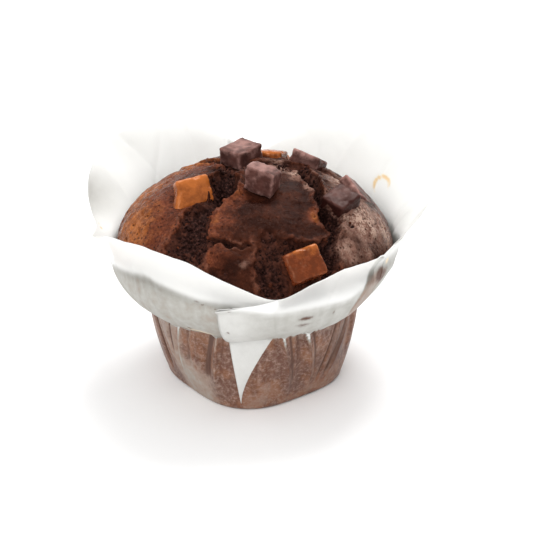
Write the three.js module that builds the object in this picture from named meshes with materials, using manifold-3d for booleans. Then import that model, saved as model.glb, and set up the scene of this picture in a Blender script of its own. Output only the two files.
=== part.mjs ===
// A large chocolate muffin in a tulip paper case, with square chocolate and caramel chunks baked into its top.
// Units are millimetres, +Z up. The origin is the middle of the paper case's flat foot, and -Y faces the viewer.
import * as THREE from "three";
import { mergeVertices } from "three/addons/utils/BufferGeometryUtils.js";
import Module from "manifold-3d";

const wasm = await Module();
wasm.setup();

// Driving dimensions
const FOOT_RADIUS = 25; // the case's foot
const TIN_DEPTH = 27; // height of the crease where the paper leaves the cake
const CREASE_RADIUS = 31.3; // inside of the paper at that crease
const DOME_RADIUS = 42; // widest part of the baked dome
const DOME_EQUATOR_Z = 42; // height of that widest part
const DOME_RISE = 25.4; // crust above the widest part
const DOME_POWER = 1.8; // 2 is an ellipse, less is more peaked
const PAPER = 0.4; // thickness of the paper, drawn thicker than the real 0.1 mm
const GAP = 0.3; // clearance between touching pieces
const SIDES = 80; // steps round the case and the cake
const WELD = 0.01; // edges shorter than this are welded after a join
const SAME_POINT = 1e-4; // corners nearer than this are one point before a join

// The foot is a circle pushed a little square by the folded sheet, with a corner near the front.
const SQUARENESS = 0.06;
const SQUARE_FADE = 0.8; // share of the squareness that is gone at the crease
const SQUARE_CORNER = rad(-98);
const WALL_CURVE = 1.6; // above 1 the wall bulges as it rises
const FOOT_ROUND = 1.4; // radius between foot and wall

// The paper's path from the crease out along the underside of the dome, as radius and height.
const SHOULDER = [43.2, 40.5];
const HUG_OUT = [36.5, 29.6];
const HUG_UP = [42.6, 33.5];

// The rim of the four petals: azimuth in degrees, radius and height. The valleys are the four pleats.
const RIM = [
  [-176, 48.8, 47.0],
  [-164, 47.2, 51.0],
  [-150, 46.6, 55.2],
  [-130, 47.2, 58.0],
  [-116, 46.8, 56.8],
  [-106, 45.6, 53.6],
  [-96, 44.5, 49.4],
  [-82, 43.8, 45.4],
  [-68, 44.0, 48.9],
  [-54, 45.2, 52.0],
  [-40, 46.4, 51.8],
  [-26, 46.2, 51.8],
  [-10, 50.2, 55.4],
  [0, 52.6, 56.6],
  [9, 56.6, 58.6],
  [22, 55.4, 63.6],
  [36, 52.4, 67.4],
  [50, 49.4, 68.6],
  [66, 46.8, 66.0],
  [78, 45.8, 60.5],
  [89, 45.2, 56.0],
  [101, 45.8, 60.5],
  [116, 47.2, 67.4],
  [133, 51.0, 69.2],
  [147, 55.8, 65.2],
  [156, 56.2, 57.6],
  [166, 52.4, 50.8],
  [176, 48.0, 47.6],
];
const PETAL_RISE = [0.04, 0.36]; // handle at the shoulder, as shares of the petal's length
const PETAL_CURL = [0.2, 0.28]; // handle at the rim
const PETAL_ROWS = 5;
const HUG_ROWS = 4;
const WALL_ROWS = 4;

// The four pleats, where the sheet is folded over itself in a tall triangle that starts at a corner of the foot.
// Azimuths in degrees: foot is the triangle's tip, edge is the fold's free edge and end is where the layers end,
// at the crease and at the rim. corner is the radius and height of the outer layer's corner at the rim.
const PLEATS = [
  { foot: -98, edge: [-103.6, -102], end: [-81, -81], corner: [45.6, 41.3], rise: 1.1 },
  { foot: -36, edge: [-22, -13], end: [-47, -40], corner: [49.4, 54.4], rise: 0.5 },
  { foot: 82, edge: [76, 77], end: [99, 101], corner: [46.4, 52.6], rise: 1.1 },
  { foot: 184, edge: [178, 177], end: [203, 202], corner: [50.6, 46.2], rise: 0.6 },
];
const PLEAT_START_Z = 3;
const PLEAT_COLUMNS = 4;
const PLEAT_LAP = 0.15; // how far the outer layer stands off the sheet at its hidden end
const PLEAT_SINK = 0.24; // how far the layers reach into the sheet, so that they join it
const CORNER_DROP = 0.7; // below 1 the outer layer's top edge drops early
const CREASE_BULGE = 0.8; // how much more the layers stand off at the crease
const CREASE_BULGE_ROWS = 2.5;

// Wrinkles of the wall: azimuth in degrees at the crease and at the foot, half-width in degrees, height.
// They fade out below the given share of the wall's height, over the given share.
const WRINKLE_FADE = [0.08, 0.5];
const WRINKLES = [
  [-163, -153, 7, -0.8],
  [-147, -146, 7, 0.6],
  [-133, -138, 6, 0.6],
  [-117, -122, 6, -0.9],
  [-110, -116, 5, 0.5],
  [-72, -67, 6, 0.6],
  [-64, -60, 5, -0.6],
  [-56, -53, 6, 0.7],
  [-4, -12, 8, 0.9],
  [12, 14, 6, -0.7],
  [30, 26, 7, 0.7],
  [47, 49, 6, -0.6],
  [62, 60, 6, 0.6],
  [112, 116, 6, -0.7],
  [124, 122, 6, 0.7],
  [146, 141, 7, -0.7],
  [158, 160, 6, 0.6],
];

// Splits in the crust: points in plan, half-width and depth at each. Depths are below the crust.
const FISSURES = [
  // between the middle and the right lobe
  [
    [10, 14, 1.8, 1.6],
    [13, 8.7, 2.2, 3.4],
    [15.4, 2, 2.6, 4.6],
    [17.4, -5, 3, 5],
    [20, -12, 4, 5.4],
    [21.4, -20, 3.4, 4.2],
    [22.8, -25.6, 3.4, 3.2],
    [25, -31, 3.6, 2.6],
  ],
  // between the left lobe and the middle
  [
    [-3, 6, 2, 1.8],
    [-6.4, -2, 3, 4.2],
    [-7.6, -8, 3.6, 6.4],
    [-11, -14.4, 3, 4],
    [-14.8, -20.6, 3.4, 3.4],
    [-17, -26, 5, 3.4],
    [-19.6, -31, 5.6, 2.8],
  ],
  // under the middle lobe, from left to right
  [
    [-14, -28.2, 3.4, 3],
    [-8.6, -31, 2.4, 2.8],
    [-2, -33.6, 2.6, 2.2],
    [6, -33.6, 3, 2.4],
    [13.6, -31, 4, 3],
    [20.6, -26.6, 3.4, 3],
  ],
  // across the top
  [
    [-3, 5, 2.2, 1.6],
    [3, 9, 2.6, 1.8],
    [10, 13, 2.2, 1.8],
  ],
  // the far side
  [
    [10, 14, 2, 1.8],
    [13, 22, 2.6, 3.2],
    [12, 31, 2.6, 3],
    [16, 37, 2, 1.6],
  ],
  [
    [-4, 5, 2, 1.8],
    [-13, 12, 2.4, 2.8],
    [-19, 20, 2.8, 3.4],
    [-22, 30, 2.2, 2],
  ],
];
const SPLIT_FLOOR = 0.25; // share of a split's half-width that is its flat floor
const LIP_HEIGHT = 0.16; // height of the lips beside a split, as a share of its depth
const LIP_AT = 1.35; // where they are highest, in half-widths
const LIP_WIDTH = 0.9;
const LIPLESS_DEPTH = 0.2; // a place deeper than this in another split has no lip
// Crumb that the crust doesn't cover: centre in plan, radius and how far it lies below the crust.
const CRUMB_PATCHES = [
  [-2, -38.6, 11, 1.6],
  [-19, -30.5, 7.5, 1.4],
  [22, -30, 5.5, 1.2],
  [22.6, -16, 6, 4.4],
  [-15, -13, 8, 3.8],
  [-1, 7.5, 9, 2.7],
  [-11, 4, 6, 1.6],
];
// Swellings of the crust: centre in plan, radius and height.
const SWELLINGS = [
  [3, -19, 15, 1.3],
  [-28, -8, 16, 0.9],
  [31, -8, 13, 0.9],
  [-9.2, -34.6, 4, 2.2], // a chunk sunk under a skin of batter
  [20, 26, 14, 0.8],
  [-8, 26, 12, 0.8],
];

// Unevenness of the crust and of the open crumb: wavelength and height.
const CRUST_WAVE = [3.1, 0.25];
const CRUMB_WAVE = [1.15, 0.45];
const FULL_CRUMB_DEPTH = 2; // a split or patch as deep as this shows nothing but crumb
const PAPER_SLACK = 0.05; // extra clearance between the cake and the creased paper
const RIM_BLEND_ROWS = 3; // rows over which the dome's relief dies out towards the paper

// Chunks: name, kind, size along and across and thickness, centre, and the ways of its length and its thickness.
const CHUNKS = [
  ["chocolate_chunk_1", "chocolate", [9.7, 7.9, 5.0], [-4.0, 12.9, 66.9], [0.68, 0.73, 0.02], [-0.05, -0.06, 1]],
  ["chocolate_chunk_2", "chocolate", [8.4, 7.2, 5.1], [2.4, -12.4, 68.5], [0.87, -0.47, -0.15], [-0.48, -0.88, -0.05]],
  ["chocolate_chunk_3", "chocolate", [8.4, 7.2, 5.4], [25.2, -10.6, 60.4], [0.64, 0.74, 0.19], [0.1, -0.33, 0.94]],
  ["chocolate_chunk_4", "chocolate", [8.8, 7.6, 5.0], [16.4, 15.4, 62.9], [0.8, -0.5, -0.34], [0.4, 0.32, 0.86]],
  ["chocolate_chunk_5", "chocolate", [10.2, 7.6, 4.6], [30.6, 5.0, 56.4], [0.5, -0.74, -0.45], [0.72, 0.1, 0.68]],
  ["chocolate_chunk_6", "chocolate", [9.2, 8.0, 5.0], [-12.6, 34.0, 52.6], [0.9, 0.36, 0.2], [-0.3, 0.84, 0.5]],
  ["caramel_chunk_1", "caramel", [9.6, 8.2, 4.7], [13.9, -35.8, 52.2], [0.92, 0.29, 0.26], [0.16, -0.82, 0.55]],
  ["caramel_chunk_2", "caramel", [9.5, 7.6, 4.7], [-17.9, -9.0, 63.2], [0.9, 0.42, 0.09], [0.33, -0.81, 0.48]],
  ["caramel_chunk_3", "caramel", [9.0, 8.0, 4.6], [4.6, 20.2, 62.6], [0.95, -0.28, 0.1], [0.04, 0.3, 0.95]],
  ["caramel_chunk_4", "caramel", [9.2, 8.2, 4.7], [7.0, 33.4, 54.6], [0.93, -0.3, 0.2], [0.1, 0.78, 0.62]],
];
const CHUNK_BEVEL = 0.9;

const MATERIALS = {
  cake: new THREE.MeshStandardMaterial({ color: 0x4a2716, roughness: 0.78, metalness: 0 }),
  paper: new THREE.MeshStandardMaterial({ color: 0xe9e8e2, roughness: 0.7, metalness: 0 }),
  chocolate: new THREE.MeshStandardMaterial({ color: 0x35190f, roughness: 0.42, metalness: 0 }),
  caramel: new THREE.MeshStandardMaterial({ color: 0xa84c14, roughness: 0.32, metalness: 0 }),
};

function rad(degrees) {
  return (degrees * Math.PI) / 180;
}

function lerp(a, b, t) {
  return a + (b - a) * t;
}

// 1 at the middle, falling smoothly to 0 at distance 1
function falloff(distance) {
  const d = Math.min(1, Math.max(0, distance));
  return 1 - d * d * (3 - 2 * d);
}

// A point of a cubic Bezier curve in the radius and height plane
function bezier(p0, p1, p2, p3, t) {
  const s = 1 - t;
  const mix = (i) => s ** 3 * p0[i] + 3 * s * s * t * p1[i] + 3 * s * t * t * p2[i] + t ** 3 * p3[i];
  return [mix(0), mix(1)];
}

// The case

// Angle between two azimuths, in degrees
function apart(a, b) {
  return Math.abs(((((a - b) % 360) + 540) % 360) - 180);
}

// Inside radius of the case's wall below the crease
function wallRadius(azimuth, z) {
  const up = Math.min(1, Math.max(0, z / TIN_DEPTH));
  const round = lerp(FOOT_RADIUS, CREASE_RADIUS, 1 - (1 - up) ** WALL_CURVE);
  const square = SQUARENESS * (1 - SQUARE_FADE * up) * Math.cos(4 * (azimuth - SQUARE_CORNER));
  const degrees = (azimuth * 180) / Math.PI;
  const ruck = WRINKLES.reduce((sum, [top, foot, width, height]) => {
    return sum + height * falloff(apart(degrees, lerp(foot, top, up)) / width);
  }, 0);
  return round * (1 + square) + ruck * (1 - falloff((up - WRINKLE_FADE[0]) / WRINKLE_FADE[1]));
}

// Radius and height of the rim at an azimuth, on a smooth closed curve through the points of RIM
function rim(azimuth) {
  const first = RIM[0][0];
  const degrees = ((((azimuth * 180) / Math.PI - first) % 360) + 360) % 360;
  const at = (i) => RIM[(i + RIM.length) % RIM.length];
  const turn = (i) => at(i)[0] - first + 360 * Math.floor(i / RIM.length);
  let k = 0;
  while (k < RIM.length - 1 && turn(k + 1) <= degrees) k += 1;
  const t = (degrees - turn(k)) / (turn(k + 1) - turn(k));
  const through = (c) => {
    const slope = (i) => (at(i + 1)[c] - at(i - 1)[c]) / (turn(i + 1) - turn(i - 1));
    const span = turn(k + 1) - turn(k);
    const h = [2 * t ** 3 - 3 * t * t + 1, t ** 3 - 2 * t * t + t, -2 * t ** 3 + 3 * t * t, t ** 3 - t * t];
    return h[0] * at(k)[c] + h[1] * span * slope(k) + h[2] * at(k + 1)[c] + h[3] * span * slope(k + 1);
  };
  return [through(1), through(2)];
}

// The paper's path under the dome, from the crease at t 0 to the shoulder at t 1
function hug(azimuth, t) {
  return bezier([wallRadius(azimuth, TIN_DEPTH), TIN_DEPTH], HUG_OUT, HUG_UP, SHOULDER, t);
}

// The free petal above the shoulder, which curls outwards to the rim at t 1
function petal(end, t) {
  const length = Math.hypot(end[0] - SHOULDER[0], end[1] - SHOULDER[1]);
  const rise = [SHOULDER[0] + PETAL_RISE[0] * length, SHOULDER[1] + PETAL_RISE[1] * length];
  const curl = [end[0] - PETAL_CURL[0] * length, end[1] - PETAL_CURL[1] * length];
  return bezier(SHOULDER, rise, curl, end, t);
}

// Radius and height of the paper's inner face, from the foot's rounded edge to the rim
function paperSection(azimuth, end = rim(azimuth)) {
  const section = [];
  for (let i = 0; i <= 2; i++) {
    const turn = (i / 2) * (Math.PI / 2);
    const z = PAPER + FOOT_ROUND * (1 - Math.cos(turn));
    section.push([wallRadius(azimuth, z) - FOOT_ROUND * (1 - Math.sin(turn)), z]);
  }
  for (let i = 1; i < WALL_ROWS; i++) {
    const z = lerp(PAPER + FOOT_ROUND, TIN_DEPTH, i / WALL_ROWS);
    section.push([wallRadius(azimuth, z), z]);
  }
  for (let i = 0; i < HUG_ROWS; i++) section.push(hug(azimuth, i / HUG_ROWS));
  for (let i = 0; i <= PETAL_ROWS; i++) section.push(petal(end, i / PETAL_ROWS));
  return section;
}

// A section moved sideways along its own normal: positive is outwards
function offsetSection(section, distance) {
  return section.map((p, i) => {
    const a = section[Math.max(0, i - 1)];
    const b = section[Math.min(section.length - 1, i + 1)];
    const length = Math.hypot(b[0] - a[0], b[1] - a[1]);
    return [p[0] + (distance * (b[1] - a[1])) / length, p[1] - (distance * (b[0] - a[0])) / length];
  });
}

// A closed surface from rings of points, each ring round the axis, with a fan at both ends
function ringsToGeometry(rings) {
  const sides = rings[0].length;
  const positions = rings.flat(2);
  const index = [];
  const fan = (ring, turned) => {
    const middle = [0, 0, rings[ring].reduce((sum, p) => sum + p[2], 0) / sides];
    const centre = positions.length / 3;
    positions.push(...middle);
    for (let i = 0; i < sides; i++) {
      const a = ring * sides + i;
      const b = ring * sides + ((i + 1) % sides);
      index.push(...(turned ? [centre, b, a] : [centre, a, b]));
    }
  };
  for (let j = 0; j + 1 < rings.length; j++) {
    for (let i = 0; i < sides; i++) {
      const a = j * sides + i;
      const b = j * sides + ((i + 1) % sides);
      index.push(a, b, b + sides, a, b + sides, a + sides);
    }
  }
  fan(0, true);
  fan(rings.length - 1, false);
  const geometry = new THREE.BufferGeometry();
  geometry.setAttribute("position", new THREE.Float32BufferAttribute(positions, 3));
  geometry.setIndex(index);
  return geometry;
}

function azimuths(count) {
  return Array.from({ length: count }, (_, i) => -Math.PI + (i * 2 * Math.PI) / count);
}

function toPoint(azimuth, [r, z]) {
  return [r * Math.cos(azimuth), r * Math.sin(azimuth), z];
}

// The sheet of paper: up its outer face to the rim, and down its inner face
function sheetGeometry() {
  const columns = azimuths(SIDES).map((azimuth) => {
    const inner = paperSection(azimuth);
    const outer = offsetSection(inner, PAPER);
    outer[0] = [inner[0][0], 0];
    return [...outer, ...inner.reverse()].map((p) => toPoint(azimuth, p));
  });
  return ringsToGeometry(columns[0].map((_, row) => columns.map((column) => column[row])));
}

// The folded layers of a pleat, from its hidden end to the fold's free edge
function pleatGeometry({ foot, edge, end, corner, rise }) {
  const columns = [];
  for (let c = 0; c <= PLEAT_COLUMNS; c++) {
    const share = c / PLEAT_COLUMNS;
    const inner = rim(rad(end[1]));
    const rimPoint = [lerp(inner[0], corner[0], share), lerp(inner[1], corner[1], share ** CORNER_DROP)];
    const crease = lerp(end[0], edge[0], share);
    const top = lerp(end[1], edge[1], share);
    const azimuthAt = (z) => {
      if (z > TIN_DEPTH) return rad(lerp(crease, top, (z - TIN_DEPTH) / (rimPoint[1] - TIN_DEPTH)));
      return rad(lerp(foot, crease, (z - PLEAT_START_Z) / (TIN_DEPTH - PLEAT_START_Z)));
    };
    const flat = paperSection(rad(crease), rimPoint);
    const rows = flat.map((_, i) => i).filter((i) => flat[i][1] > PLEAT_START_Z);
    const path = (lift) =>
      rows.map((i) => {
        const azimuth = azimuthAt(flat[i][1]);
        return toPoint(azimuth, offsetSection(paperSection(azimuth, rimPoint), PAPER + lift(i))[i]);
      });
    const creaseRow = 2 + WALL_ROWS;
    const proud = (rise - PLEAT_LAP) * Math.sqrt(share);
    const bulge = (i) => CREASE_BULGE * falloff(Math.abs(i - creaseRow) / CREASE_BULGE_ROWS);
    const swell = (i) => Math.min(1, flat[i][1] / TIN_DEPTH) + bulge(i);
    const outer = path((i) => PLEAT_LAP + proud * swell(i));
    columns.push([outer, path(() => -PLEAT_SINK)]);
  }
  // The rings run the same way round whichever side the fold's edge is on.
  if (edge[0] > end[0]) columns.reverse();
  return columns[0][0].map((_, row) => [
    ...columns.map((c) => c[1][row]),
    ...columns.map((c) => c[0][row]).reverse(),
  ]);
}

// Joins

function solidOf(geometry) {
  const bare = geometry.clone();
  bare.deleteAttribute("normal");
  bare.deleteAttribute("uv");
  const merged = mergeVertices(bare, SAME_POINT);
  return new wasm.Manifold(
    new wasm.Mesh({
      numProp: 3,
      vertProperties: new Float32Array(merged.attributes.position.array),
      triVerts: new Uint32Array(merged.index.array),
    }),
  );
}

function geometryOf(solid) {
  const mesh = solid.getMesh();
  const geometry = new THREE.BufferGeometry();
  geometry.setAttribute("position", new THREE.BufferAttribute(mesh.vertProperties, 3));
  geometry.setIndex(new THREE.BufferAttribute(mesh.triVerts, 1));
  geometry.computeVertexNormals();
  return geometry;
}

// A tube of rings that don't go round the axis, closed by a fan at both ends
function stripGeometry(rings) {
  const geometry = ringsToGeometry(rings);
  const position = geometry.getAttribute("position");
  const around = rings[0].length;
  [0, rings.length - 1].forEach((ring, end) => {
    const middle = [0, 1, 2].map((k) => rings[ring].reduce((sum, p) => sum + p[k], 0) / around);
    position.setXYZ(rings.length * around + end, ...middle);
  });
  return geometry;
}

// The cake

// Distance from the top along the crust, for a point of the dome at a radius
const CRUST_STEPS = 400;
const crustLength = [0];
for (let i = 1; i <= CRUST_STEPS; i++) {
  const [a, b] = [i - 1, i].map((k) => DOME_RADIUS * Math.sin(((k / CRUST_STEPS) * Math.PI) / 2));
  crustLength.push(crustLength[i - 1] + Math.hypot(b - a, domeZ(b) - domeZ(a)));
}

function domeZ(radius) {
  const share = Math.min(1, radius / DOME_RADIUS);
  return DOME_EQUATOR_Z + DOME_RISE * Math.sqrt(Math.max(0, 1 - share ** DOME_POWER));
}

// Plan coordinates spread out to true distances along the crust
function onCrust([x, y]) {
  const r = Math.min(Math.hypot(x, y), DOME_RADIUS);
  if (r < 1e-6) return [0, 0];
  const k = (Math.asin(r / DOME_RADIUS) / (Math.PI / 2)) * CRUST_STEPS;
  const low = Math.min(CRUST_STEPS - 1, Math.floor(k));
  const length = lerp(crustLength[low], crustLength[low + 1], k - low);
  return [(x / r) * length, (y / r) * length];
}

// How far one split goes below the crust at a place on it, less the lips that it pushes up on both sides
function splitDepth(place, split) {
  let deepest = 0;
  let nearest = Infinity;
  let lip = 0;
  for (let i = 0; i + 1 < split.length; i++) {
    const a = onCrust(split[i]);
    const b = onCrust(split[i + 1]);
    const along = [b[0] - a[0], b[1] - a[1]];
    const reach = ((place[0] - a[0]) * along[0] + (place[1] - a[1]) * along[1]) / (along[0] ** 2 + along[1] ** 2);
    const t = Math.min(1, Math.max(0, reach));
    const distance = Math.hypot(place[0] - a[0] - t * along[0], place[1] - a[1] - t * along[1]);
    const width = lerp(split[i][2], split[i + 1][2], t);
    const depth = lerp(split[i][3], split[i + 1][3], t);
    deepest = Math.max(deepest, depth * falloff(distance / width - SPLIT_FLOOR));
    if (distance / width < nearest) {
      nearest = distance / width;
      lip = LIP_HEIGHT * depth * falloff((nearest - LIP_AT) / LIP_WIDTH);
    }
  }
  return deepest > 0 ? deepest - lip : -lip;
}

// Unevenness of about a millimetre, finer where the crumb shows
function unevenness(x, y, wave) {
  const a = Math.sin(x / wave + 1.7 * Math.sin(y / (1.6 * wave)) + 0.6);
  const b = Math.sin(y / (0.8 * wave) + 1.3 * Math.sin(x / (1.3 * wave)) + 2.1);
  return 0.5 * (a + b);
}

// Height of the relief at a point of the dome, above the plain form
function relief(plan) {
  const place = onCrust(plan);
  const nearness = ([x, y, radius]) => {
    const centre = onCrust([x, y]);
    return falloff(Math.hypot(place[0] - centre[0], place[1] - centre[1]) / radius);
  };
  const swell = SWELLINGS.reduce((sum, s) => sum + s[3] * nearness(s), 0);
  const bare = CRUMB_PATCHES.reduce((sum, s) => Math.max(sum, s[3] * nearness(s)), 0);
  const splits = FISSURES.map((s) => splitDepth(place, s));
  const split = Math.max(0, ...splits);
  const lips = split > LIPLESS_DEPTH ? 0 : Math.min(0, ...splits);
  const crumb = Math.min(1, Math.max(bare, split) / FULL_CRUMB_DEPTH);
  const waves = ([wave, height]) => height * unevenness(...place, wave);
  return swell - Math.max(bare, split) - lips + waves(CRUST_WAVE) + crumb * waves(CRUMB_WAVE);
}

const DOME_ROWS = 25;

// Radius and height of the cake's outline at an azimuth, from its foot to near the top of the dome
function cakeSection(azimuth) {
  const paper = paperSection(azimuth);
  const shoulderRow = 2 + WALL_ROWS + HUG_ROWS;
  const section = offsetSection(paper, -GAP - PAPER_SLACK).slice(0, shoulderRow);
  section[0] = [paper[0][0] - GAP, PAPER + GAP];
  section[1][1] = Math.max(section[1][1], PAPER + GAP);
  for (let i = 0; i < DOME_ROWS; i++) {
    const r = DOME_RADIUS * Math.cos(((i / DOME_ROWS) * Math.PI) / 2);
    const slope = (domeZ(r * 0.999) - domeZ(Math.min(r * 1.001, DOME_RADIUS))) / (r * 0.002);
    const length = Math.hypot(1, slope);
    const blend = Math.min(1, i / RIM_BLEND_ROWS);
    const lift = blend * relief([r * Math.cos(azimuth), r * Math.sin(azimuth)]);
    section.push([r + (lift * slope) / length, domeZ(r) + lift / length]);
  }
  return section;
}

function cakeGeometry() {
  const columns = azimuths(SIDES).map((azimuth) => cakeSection(azimuth).map((p) => toPoint(azimuth, p)));
  const geometry = ringsToGeometry(columns[0].map((_, row) => columns.map((column) => column[row])));
  const position = geometry.getAttribute("position");
  position.setZ(position.count - 1, domeZ(0) + relief([0, 0]));
  return geometry;
}

// The chunks

// A cut cube with bevelled edges, a little larger by grow on every side
function chunkGeometry([length, width, height], grow = 0) {
  const bevel = CHUNK_BEVEL;
  const x = length / 2 + grow - bevel;
  const y = width / 2 + grow - bevel;
  const outline = new THREE.Shape([
    new THREE.Vector2(-x, -y),
    new THREE.Vector2(x, -y),
    new THREE.Vector2(x, y),
    new THREE.Vector2(-x, y),
  ]);
  const depth = height + 2 * grow - 2 * bevel;
  const geometry = new THREE.ExtrudeGeometry(outline, {
    depth,
    bevelEnabled: true,
    bevelThickness: bevel,
    bevelSize: bevel,
    bevelSegments: 1,
  });
  geometry.translate(0, 0, -depth / 2);
  return geometry;
}

// Where a chunk lies: its length and its thickness point the given ways
function chunkMatrix(centre, lengthWay, heightWay) {
  const z = new THREE.Vector3(...heightWay).normalize();
  const x = new THREE.Vector3(...lengthWay);
  x.addScaledVector(z, -x.dot(z)).normalize();
  const y = new THREE.Vector3().crossVectors(z, x);
  return new THREE.Matrix4().makeBasis(x, y, z).setPosition(...centre);
}

// The object

const muffin = new THREE.Group();

function addMesh(name, geometry, material, matrix) {
  const mesh = new THREE.Mesh(geometry, material);
  mesh.name = name;
  if (matrix) mesh.applyMatrix4(matrix);
  muffin.add(mesh);
}

let cake = solidOf(cakeGeometry());
for (const [name, kind, size, centre, lengthWay, heightWay] of CHUNKS) {
  const place = chunkMatrix(centre, lengthWay, heightWay);
  addMesh(name, chunkGeometry(size), MATERIALS[kind], place);
  cake = cake.subtract(solidOf(chunkGeometry(size, GAP).applyMatrix4(place)));
}
addMesh("cake", geometryOf(cake.simplify(WELD)), MATERIALS.cake);

const sheet = solidOf(sheetGeometry());
const pleats = PLEATS.map((pleat) => solidOf(stripGeometry(pleatGeometry(pleat))));
const folded = pleats.reduce((whole, pleat) => whole.add(pleat), sheet);
// The layers of a pleat touch, so a bubble that is left between them is filled.
const bodies = folded.decompose().sort((a, b) => b.volume() - a.volume());
addMesh("paper_case", geometryOf(bodies[0].simplify(WELD)), MATERIALS.paper);

export default muffin;
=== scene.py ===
"""A large chocolate muffin with chocolate and caramel chunks, in a white tulip paper case.

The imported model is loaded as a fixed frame. Each visible piece is modelled round it and replaces its
plain solid. Sizes are in millimetres and azimuths in degrees, up to the last step, which writes a mesh
in metres.
"""

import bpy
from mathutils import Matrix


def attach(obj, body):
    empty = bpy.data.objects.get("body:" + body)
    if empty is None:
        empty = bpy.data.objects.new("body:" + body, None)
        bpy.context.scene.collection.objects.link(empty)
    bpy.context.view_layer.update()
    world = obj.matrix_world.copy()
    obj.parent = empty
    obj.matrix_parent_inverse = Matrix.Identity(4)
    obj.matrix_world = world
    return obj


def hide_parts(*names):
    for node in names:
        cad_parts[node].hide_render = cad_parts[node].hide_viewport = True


bl_info = {
    "name": "Muffin in a tulip case",
    "version": (1, 0, 0),
    "blender": (4, 5, 0),
    "location": "View3D > Sidebar > Muffin",
    "description": "Bakes a chocolate muffin, its chunks and its folded paper case round a fixed frame",
    "category": "Object",
}

import math

import bpy
import numpy as np
from bpy.props import FloatProperty, FloatVectorProperty, IntProperty, PointerProperty
from mathutils import Vector, noise

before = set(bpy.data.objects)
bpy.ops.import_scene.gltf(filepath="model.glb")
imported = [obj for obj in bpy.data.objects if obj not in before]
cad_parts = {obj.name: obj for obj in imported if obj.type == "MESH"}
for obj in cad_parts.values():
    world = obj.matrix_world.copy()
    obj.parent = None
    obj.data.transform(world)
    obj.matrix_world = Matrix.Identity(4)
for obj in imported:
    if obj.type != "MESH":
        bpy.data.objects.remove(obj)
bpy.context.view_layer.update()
BODY = "root"
MM = 0.001

CHOCOLATE_NODES = sorted(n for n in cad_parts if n.startswith("chocolate_chunk"))
CARAMEL_NODES = sorted(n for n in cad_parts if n.startswith("caramel_chunk"))

# The case and the dome, as in the solid model
FOOT_RADIUS = 25.0
TIN_DEPTH = 27.0
CREASE_RADIUS = 31.3
DOME_RADIUS = 42.0
DOME_EQUATOR_Z = 42.0
DOME_RISE = 25.4
DOME_POWER = 1.8
SQUARENESS = 0.06
SQUARE_CORNER = -98.0
WALL_CURVE = 1.6
FOOT_ROUND = 1.4
SOLID_PAPER = 0.4
SHOULDER = (43.2, 40.5)
HUG_OUT = (36.5, 29.6)
HUG_UP = (42.6, 33.5)
CAKE_CLEARANCE = 0.35
SHEET_MIDDLE = 0.28  # middle of the sheet, outside the case's inner face

# The rim of the petals: azimuth, radius and height
RIM = (
    (-176, 48.8, 47.0),
    (-164, 47.2, 51.0),
    (-150, 46.6, 55.2),
    (-130, 47.2, 58.0),
    (-116, 46.8, 56.8),
    (-106, 45.6, 53.6),
    (-96, 44.5, 49.4),
    (-82, 43.8, 45.4),
    (-68, 44.0, 48.9),
    (-54, 45.2, 52.0),
    (-40, 46.4, 51.8),
    (-26, 46.2, 51.8),
    (-10, 50.2, 55.4),
    (0, 52.6, 56.6),
    (9, 56.6, 58.6),
    (22, 55.4, 63.6),
    (36, 52.4, 67.4),
    (50, 49.4, 68.6),
    (66, 46.8, 66.0),
    (78, 45.8, 60.5),
    (89, 45.2, 56.0),
    (101, 45.8, 60.5),
    (116, 47.2, 67.4),
    (133, 51.0, 69.2),
    (147, 55.8, 65.2),
    (156, 56.2, 57.6),
    (166, 52.4, 50.8),
    (176, 48.0, 47.6),
)

# The pleats: the tip at the foot, then the free edge and the hidden end at the crease and at the rim,
# the outer layer's corner at the rim, how far the layers stand off the wall, and how soaked they are;
# on the dry front pleat that soak is a painted grey shade.
PLEATS = {
    "front": dict(foot=-98, edge=(-102.6, -103.4), end=(-76, -81), corner=(45.8, 43.2), rise=1.1, soak=0.27),
    "right": dict(foot=-36, edge=(-23, -14), end=(-45, -40), corner=(49.4, 54.4), rise=0.5, soak=0.78),
    "back": dict(foot=82, edge=(76, 77), end=(102, 101), corner=(46.4, 52.6), rise=1.1, soak=0.3),
    "left": dict(foot=184, edge=(178, 177), end=(201, 202), corner=(50.6, 46.2), rise=0.6, soak=0.95),
}
PLEAT_START_Z = 3.0
END_BOW = 1.6  # how far the hidden end's line bows in between the foot and the crease

# How far the case is pressed in at the right-hand fold: height and depth, then its azimuth and half-width
PRESS = (
    (26, 0),
    (27, 0.5),
    (30, 1.8),
    (33, 3.0),
    (36, 2.8),
    (39, 2.2),
    (42, 0.9),
    (44, 1.0),
    (47, 1.7),
    (52, 1.4),
    (57, 0.8),
)
PRESS_AT = -24.0
PRESS_WIDTH = 34.0

# Broad rucks of the wall: azimuth at the crease and at the foot, half-width in degrees, height
RUCKS = (
    (-163, -153, 7, -0.8),
    (-147, -146, 7, 0.6),
    (-133, -138, 6, 0.6),
    (-117, -122, 6, -0.9),
    (-110, -116, 5, 0.5),
    (-72, -67, 6, 0.6),
    (-64, -60, 5, -0.6),
    (-56, -53, 6, 0.7),
    (-14, -22, 24, -1.5),
    (-4, -12, 8, 0.9),
    (12, 14, 6, -0.7),
    (30, 26, 7, 0.7),
    (47, 49, 6, -0.6),
    (62, 60, 6, 0.6),
    (112, 116, 6, -0.7),
    (124, 122, 6, 0.7),
    (146, 141, 7, -0.7),
    (158, 160, 6, 0.6),
)

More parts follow.
